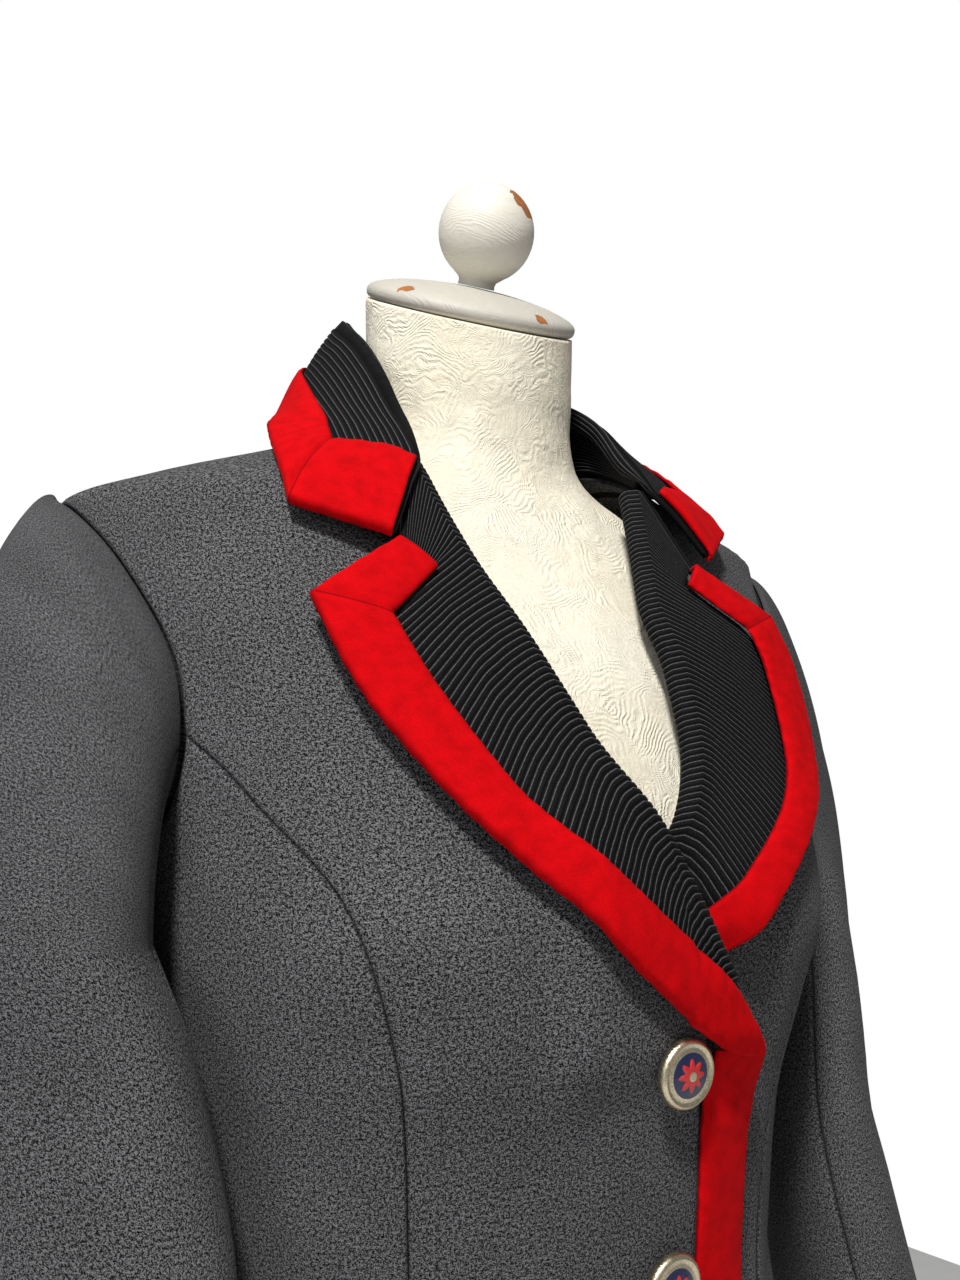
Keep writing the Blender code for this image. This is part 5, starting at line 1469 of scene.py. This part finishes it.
def plaster_material(looks):
    """Trowelled plaster, cream, with swirling strokes and faint stains."""
    material, graph, shader = new_material("trowelled_plaster")
    place = graph.object_place()
    strokes = graph.group("Strokes", Vector=place, Scale=26.0, Pitch=0.0021)
    fine = graph.group("Strokes", Vector=place, Scale=44.0, Pitch=0.0011)
    stain = graph.ramp(graph.noise(place, 16.0, 4.0, 0.6), (0.35, 0.0), (0.75, 1.0))
    colour = graph.mix(stain, looks.plaster, tinted(looks.plaster, 0.93, 0.90, 0.84))
    hollow = graph.times(graph.math("SUBTRACT", 1.0, strokes["Mask"]), 0.18)
    relief = graph.bump(fine["Height"], 0.50, 0.0008, graph.bump(strokes["Height"], 0.60, 0.0014))
    graph.fill(shader, {
        "Base Color": graph.mix(hollow, colour, (0.42, 0.37, 0.29)), "Normal": relief,
        "Roughness": 0.78, "Specular IOR Level": 0.35,
    })
    return material


def painted_material(name, looks, chips, squeeze, painted_light_factor):
    """Brushed off-white paint over wood that shows through where it has chipped."""
    material, graph, shader = new_material(name)
    place = graph.own_place()
    drawn = graph.vector("MULTIPLY", place, squeeze)
    strokes = graph.group("Strokes", Vector=drawn, Scale=30.0, Pitch=0.0015)
    share = graph.times(strokes["Mask"], 0.5)
    # Painted light and shade: the factor makes the one paint darker or lighter for each piece, according to
    # how light falls on it.
    colour = graph.mix(share, tinted(looks.paint, painted_light_factor * 0.90), tinted(looks.paint, painted_light_factor))
    bare = graph.mix(graph.noise(drawn, 320.0, 3.0), (0.17, 0.045, 0.008), (0.50, 0.19, 0.045))
    mask = 0.0
    for centre, radius in chips:
        one = graph.group("Chip", Vector=place, Centre=centre, Radius=radius)["Mask"]
        mask = graph.math("MAXIMUM", mask, graph.add("Clamp", {"Value": one}).outputs[0])
    depth = graph.math("SUBTRACT", graph.times(strokes["Height"], 0.5), mask)
    graph.fill(shader, {
        "Base Color": graph.mix(mask, colour, bare), "Normal": graph.bump(depth, 0.7, 0.0008),
        "Roughness": graph.math("MULTIPLY_ADD", mask, 0.2, 0.55),
    })
    return material


def stained_material(looks):
    """Dark stained wood."""
    material, graph, shader = new_material("dark_wood")
    drawn = graph.vector("MULTIPLY", graph.object_place(), (1.0, 0.12, 1.0))
    inputs = {"Vector": drawn, "Scale": 16.0, "Distortion": 9.0, "Detail": 3.0, "Detail Scale": 1.5}
    rings = graph.add("TexWave", inputs).outputs["Fac"]
    pores = graph.noise(drawn, 500.0, 3.0)
    colour = graph.mix(rings, tinted(looks.wood, 0.55), tinted(looks.wood, 1.25))
    colour = graph.mix(graph.ramp(pores, (0.35, 0.6), (0.5, 0.0)), colour, (0.02, 0.010, 0.005))
    graph.fill(shader, {
        "Base Color": colour, "Normal": graph.bump(pores, 0.2, 0.0004),
        "Roughness": 0.42, "Coat Weight": 0.15,
    })
    return material


def colour_property(title, text, value):
    """A colour that a user can change."""
    return bpy.props.FloatVectorProperty(
        name=title, description=text, subtype="COLOR", size=3, min=0.0, max=1.0, default=value
    )


class CoatSizes(bpy.types.PropertyGroup):
    """Sizes of the cloth."""

    wool_thickness: bpy.props.FloatProperty(
        name="Wool", description="Thickness of the wool", default=WOOL, unit="LENGTH"
    )
    pleat_rise: bpy.props.FloatProperty(
        name="Pleat", description="How far a pleat stands up", default=0.0007, unit="LENGTH"
    )


class CoatLooks(bpy.types.PropertyGroup):
    """Colours of the cloth, the metal and the form."""

    wool: colour_property("Wool", "Grey of the wool", (0.056, 0.056, 0.0585))
    velvet: colour_property("Velvet", "Red of the velvet", (0.52, 0.0008, 0.003))
    pleats: colour_property("Pleats", "Black of the pleated cloth", (0.0050, 0.0050, 0.0056))
    # Colour of a painted highlight: the pale line along each pleat stands for light caught on its fold.
    painted_pleat_highlight: colour_property("Pleat line", "Pale line along each pleat", (0.105, 0.105, 0.112))
    brass: colour_property("Metal", "Pale gold of the buttons", (0.93, 0.82, 0.58))
    enamel: colour_property("Enamel", "Ground of the rosette", (0.006, 0.010, 0.055))
    enamel_red: colour_property("Rosette", "Petals of the rosette", (0.50, 0.012, 0.014))
    plaster: colour_property("Plaster", "Cream of the plaster", (0.87, 0.825, 0.69))
    paint: colour_property("Paint", "Off-white of the painted wood", (0.72, 0.685, 0.60))
    wood: colour_property("Wood", "Brown of the stand", (0.20, 0.11, 0.055))


def shared_wool(looks):
    """The wool, made once for the panels and the sleeves."""
    return bpy.data.materials.get("milled_wool") or wool_material(looks)


class COAT_OT_panels(bpy.types.Operator):
    """Build the body panels"""

    bl_idname = "coat.panels"
    bl_label = "Body panels"

    def execute(self, context):
        build_panels(context.scene.coat_sizes, shared_wool(context.scene.coat_looks))
        return {"FINISHED"}


class COAT_OT_sleeves(bpy.types.Operator):
    """Build the sleeves"""

    bl_idname = "coat.sleeves"
    bl_label = "Sleeves"

    def execute(self, context):
        build_sleeves(context.scene.coat_sizes, shared_wool(context.scene.coat_looks))
        return {"FINISHED"}


class COAT_OT_lapels(bpy.types.Operator):
    """Build the pleated lapels and the collar"""

    bl_idname = "coat.lapels"
    bl_label = "Lapels and collar"

    def execute(self, context):
        pleated = pleated_material(context.scene.coat_looks)
        build_lapels(context.scene.coat_sizes, pleated)
        build_collar(context.scene.coat_sizes, pleated)
        return {"FINISHED"}


class COAT_OT_trims(bpy.types.Operator):
    """Build the velvet bands and the flap"""

    bl_idname = "coat.trims"
    bl_label = "Velvet bands"

    def execute(self, context):
        velvet = velvet_material(context.scene.coat_looks)
        build_trims(velvet)
        build_flap(velvet)
        return {"FINISHED"}


class COAT_OT_buttons(bpy.types.Operator):
    """Build the buttons"""

    bl_idname = "coat.buttons"
    bl_label = "Buttons"

    def execute(self, context):
        build_buttons(brass_material(context.scene.coat_looks))
        return {"FINISHED"}


class COAT_OT_form(bpy.types.Operator):
    """Build the dress form, its cap, its finial, the pole and the foot"""

    bl_idname = "coat.form"
    bl_label = "Dress form"

    def execute(self, context):
        build_form(context.scene.coat_looks)
        return {"FINISHED"}


class COAT_OT_stage(bpy.types.Operator):
    """Set up the floor, the light and the camera"""

    bl_idname = "coat.stage"
    bl_label = "Stage"

    def execute(self, context):
        build_stage()
        return {"FINISHED"}


# The lamps: name, place, power, size and colour. All are turned to one point.
LIGHTS = (
    ("key", (-0.88, -1.24, 2.42), 58, 0.34, (1.0, 0.985, 0.96)),
    ("fill", (-1.60, -1.10, 1.30), 6, 1.2, (0.90, 0.94, 1.0)),
    ("rim", (0.9, 1.4, 1.9), 2, 1.0, (1.0, 1.0, 1.0)),
)
LIT_POINT = (0.0, -0.03, 0.85)
SKY = 0.22

# The fitted camera: its place, its turn in degrees (about z, up, about its axis) and its lens.
CAMERA_PLACE = (-0.277583, -0.481435, 0.783599)
CAMERA_TURN = (-30.135, 8.766, -3.128)
SENSOR = 36.0
FOCAL_SHARE = 1144.488 / 1280


def add_light(name, place, power, size, colour):
    """A round lamp turned towards the coat."""
    lamp = bpy.data.lights.new(name, "AREA")
    lamp.energy, lamp.color = power, colour
    lamp.shape, lamp.size = "DISK", size
    thing = bpy.data.objects.new(name, lamp)
    bpy.context.scene.collection.objects.link(thing)
    thing.location = place
    thing.rotation_euler = (Vector(LIT_POINT) - Vector(place)).to_track_quat("-Z", "Y").to_euler()


def add_camera():
    """The camera where the photograph was taken from."""
    lens = bpy.data.cameras.new("camera")
    lens.sensor_fit, lens.sensor_height = "VERTICAL", SENSOR
    lens.lens = FOCAL_SHARE * SENSOR
    lens.clip_start = 0.01
    camera = bpy.data.objects.new("camera", lens)
    bpy.context.scene.collection.objects.link(camera)
    a, e, r = (math.radians(v) for v in CAMERA_TURN)
    ahead = Vector((-math.sin(a) * math.cos(e), math.cos(a) * math.cos(e), math.sin(e)))
    right = ahead.cross(Vector((0, 0, 1))).normalized()
    up = right.cross(ahead)
    right, up = right * math.cos(r) + up * math.sin(r), -right * math.sin(r) + up * math.cos(r)
    turn = Matrix((right, up, -ahead)).transposed().to_4x4()
    camera.matrix_world = Matrix.Translation(CAMERA_PLACE) @ turn
    bpy.context.scene.camera = camera


def build_stage():
    """The floor, the white backdrop, the lamps and the camera."""
    clear_selection()
    bpy.ops.mesh.primitive_plane_add(size=2.8, location=(0, 0, -0.0005))
    floor = bpy.context.object
    floor.name = "floor"
    material, graph, shader = new_material("pale_floor")
    speck = graph.ramp(graph.noise(graph.object_place(), 30.0, 2.0), (0.3, 0.80), (0.7, 0.84))
    graph.fill(shader, {"Base Color": speck, "Roughness": 0.8})
    floor.data.materials.append(material)
    bpy.ops.object.transform_apply(location=True, rotation=True, scale=True)

    world = bpy.data.worlds.new("studio")
    world.use_nodes = True
    graph = Graph(world.node_tree)
    seen = graph.add("LightPath", {}).outputs["Is Camera Ray"]
    strength = graph.math("MULTIPLY_ADD", seen, 1.0 - SKY, SKY)
    graph.fill(world.node_tree.nodes["Background"], {"Strength": strength, "Color": (1, 1, 1, 1)})
    bpy.context.scene.world = world
    for light in LIGHTS:
        add_light(*light)
    add_camera()
    bpy.context.scene.view_settings.view_transform = "Standard"


STEPS = (
    COAT_OT_panels, COAT_OT_sleeves, COAT_OT_lapels, COAT_OT_trims, COAT_OT_buttons, COAT_OT_form,
    COAT_OT_stage,
)


class COAT_PT_panel(bpy.types.Panel):
    """Lists the coat's pieces in the sidebar."""

    bl_idname = "COAT_PT_panel"
    bl_label = "Wool coat"
    bl_space_type = "VIEW_3D"
    bl_region_type = "UI"
    bl_category = "Coat"

    def draw(self, context):
        for group in (context.scene.coat_sizes, context.scene.coat_looks):
            for key in group.bl_rna.properties.keys():
                if key not in ("rna_type", "name"):
                    self.layout.prop(group, key)
        for made in STEPS:
            self.layout.operator(made.bl_idname)


CLASSES = (CoatSizes, CoatLooks, *STEPS, COAT_PT_panel)


def register():
    """Adds the classes and the scene's settings."""
    for made in CLASSES:
        bpy.utils.register_class(made)
    bpy.types.Scene.coat_sizes = bpy.props.PointerProperty(type=CoatSizes)
    bpy.types.Scene.coat_looks = bpy.props.PointerProperty(type=CoatLooks)


def unregister():
    """Takes the settings and the classes away."""
    del bpy.types.Scene.coat_looks
    del bpy.types.Scene.coat_sizes
    for made in reversed(CLASSES):
        bpy.utils.unregister_class(made)


def main():
    """Build every piece."""
    register()
    for build_group in (build_nap_group, build_seam_group, build_strokes_group, build_chip_group):
        build_group()
    bpy.ops.coat.panels()
    bpy.ops.coat.sleeves()
    bpy.ops.coat.lapels()
    bpy.ops.coat.trims()
    bpy.ops.coat.buttons()
    bpy.ops.coat.form()
    bpy.ops.coat.stage()


if __name__ == "__main__":
    main()
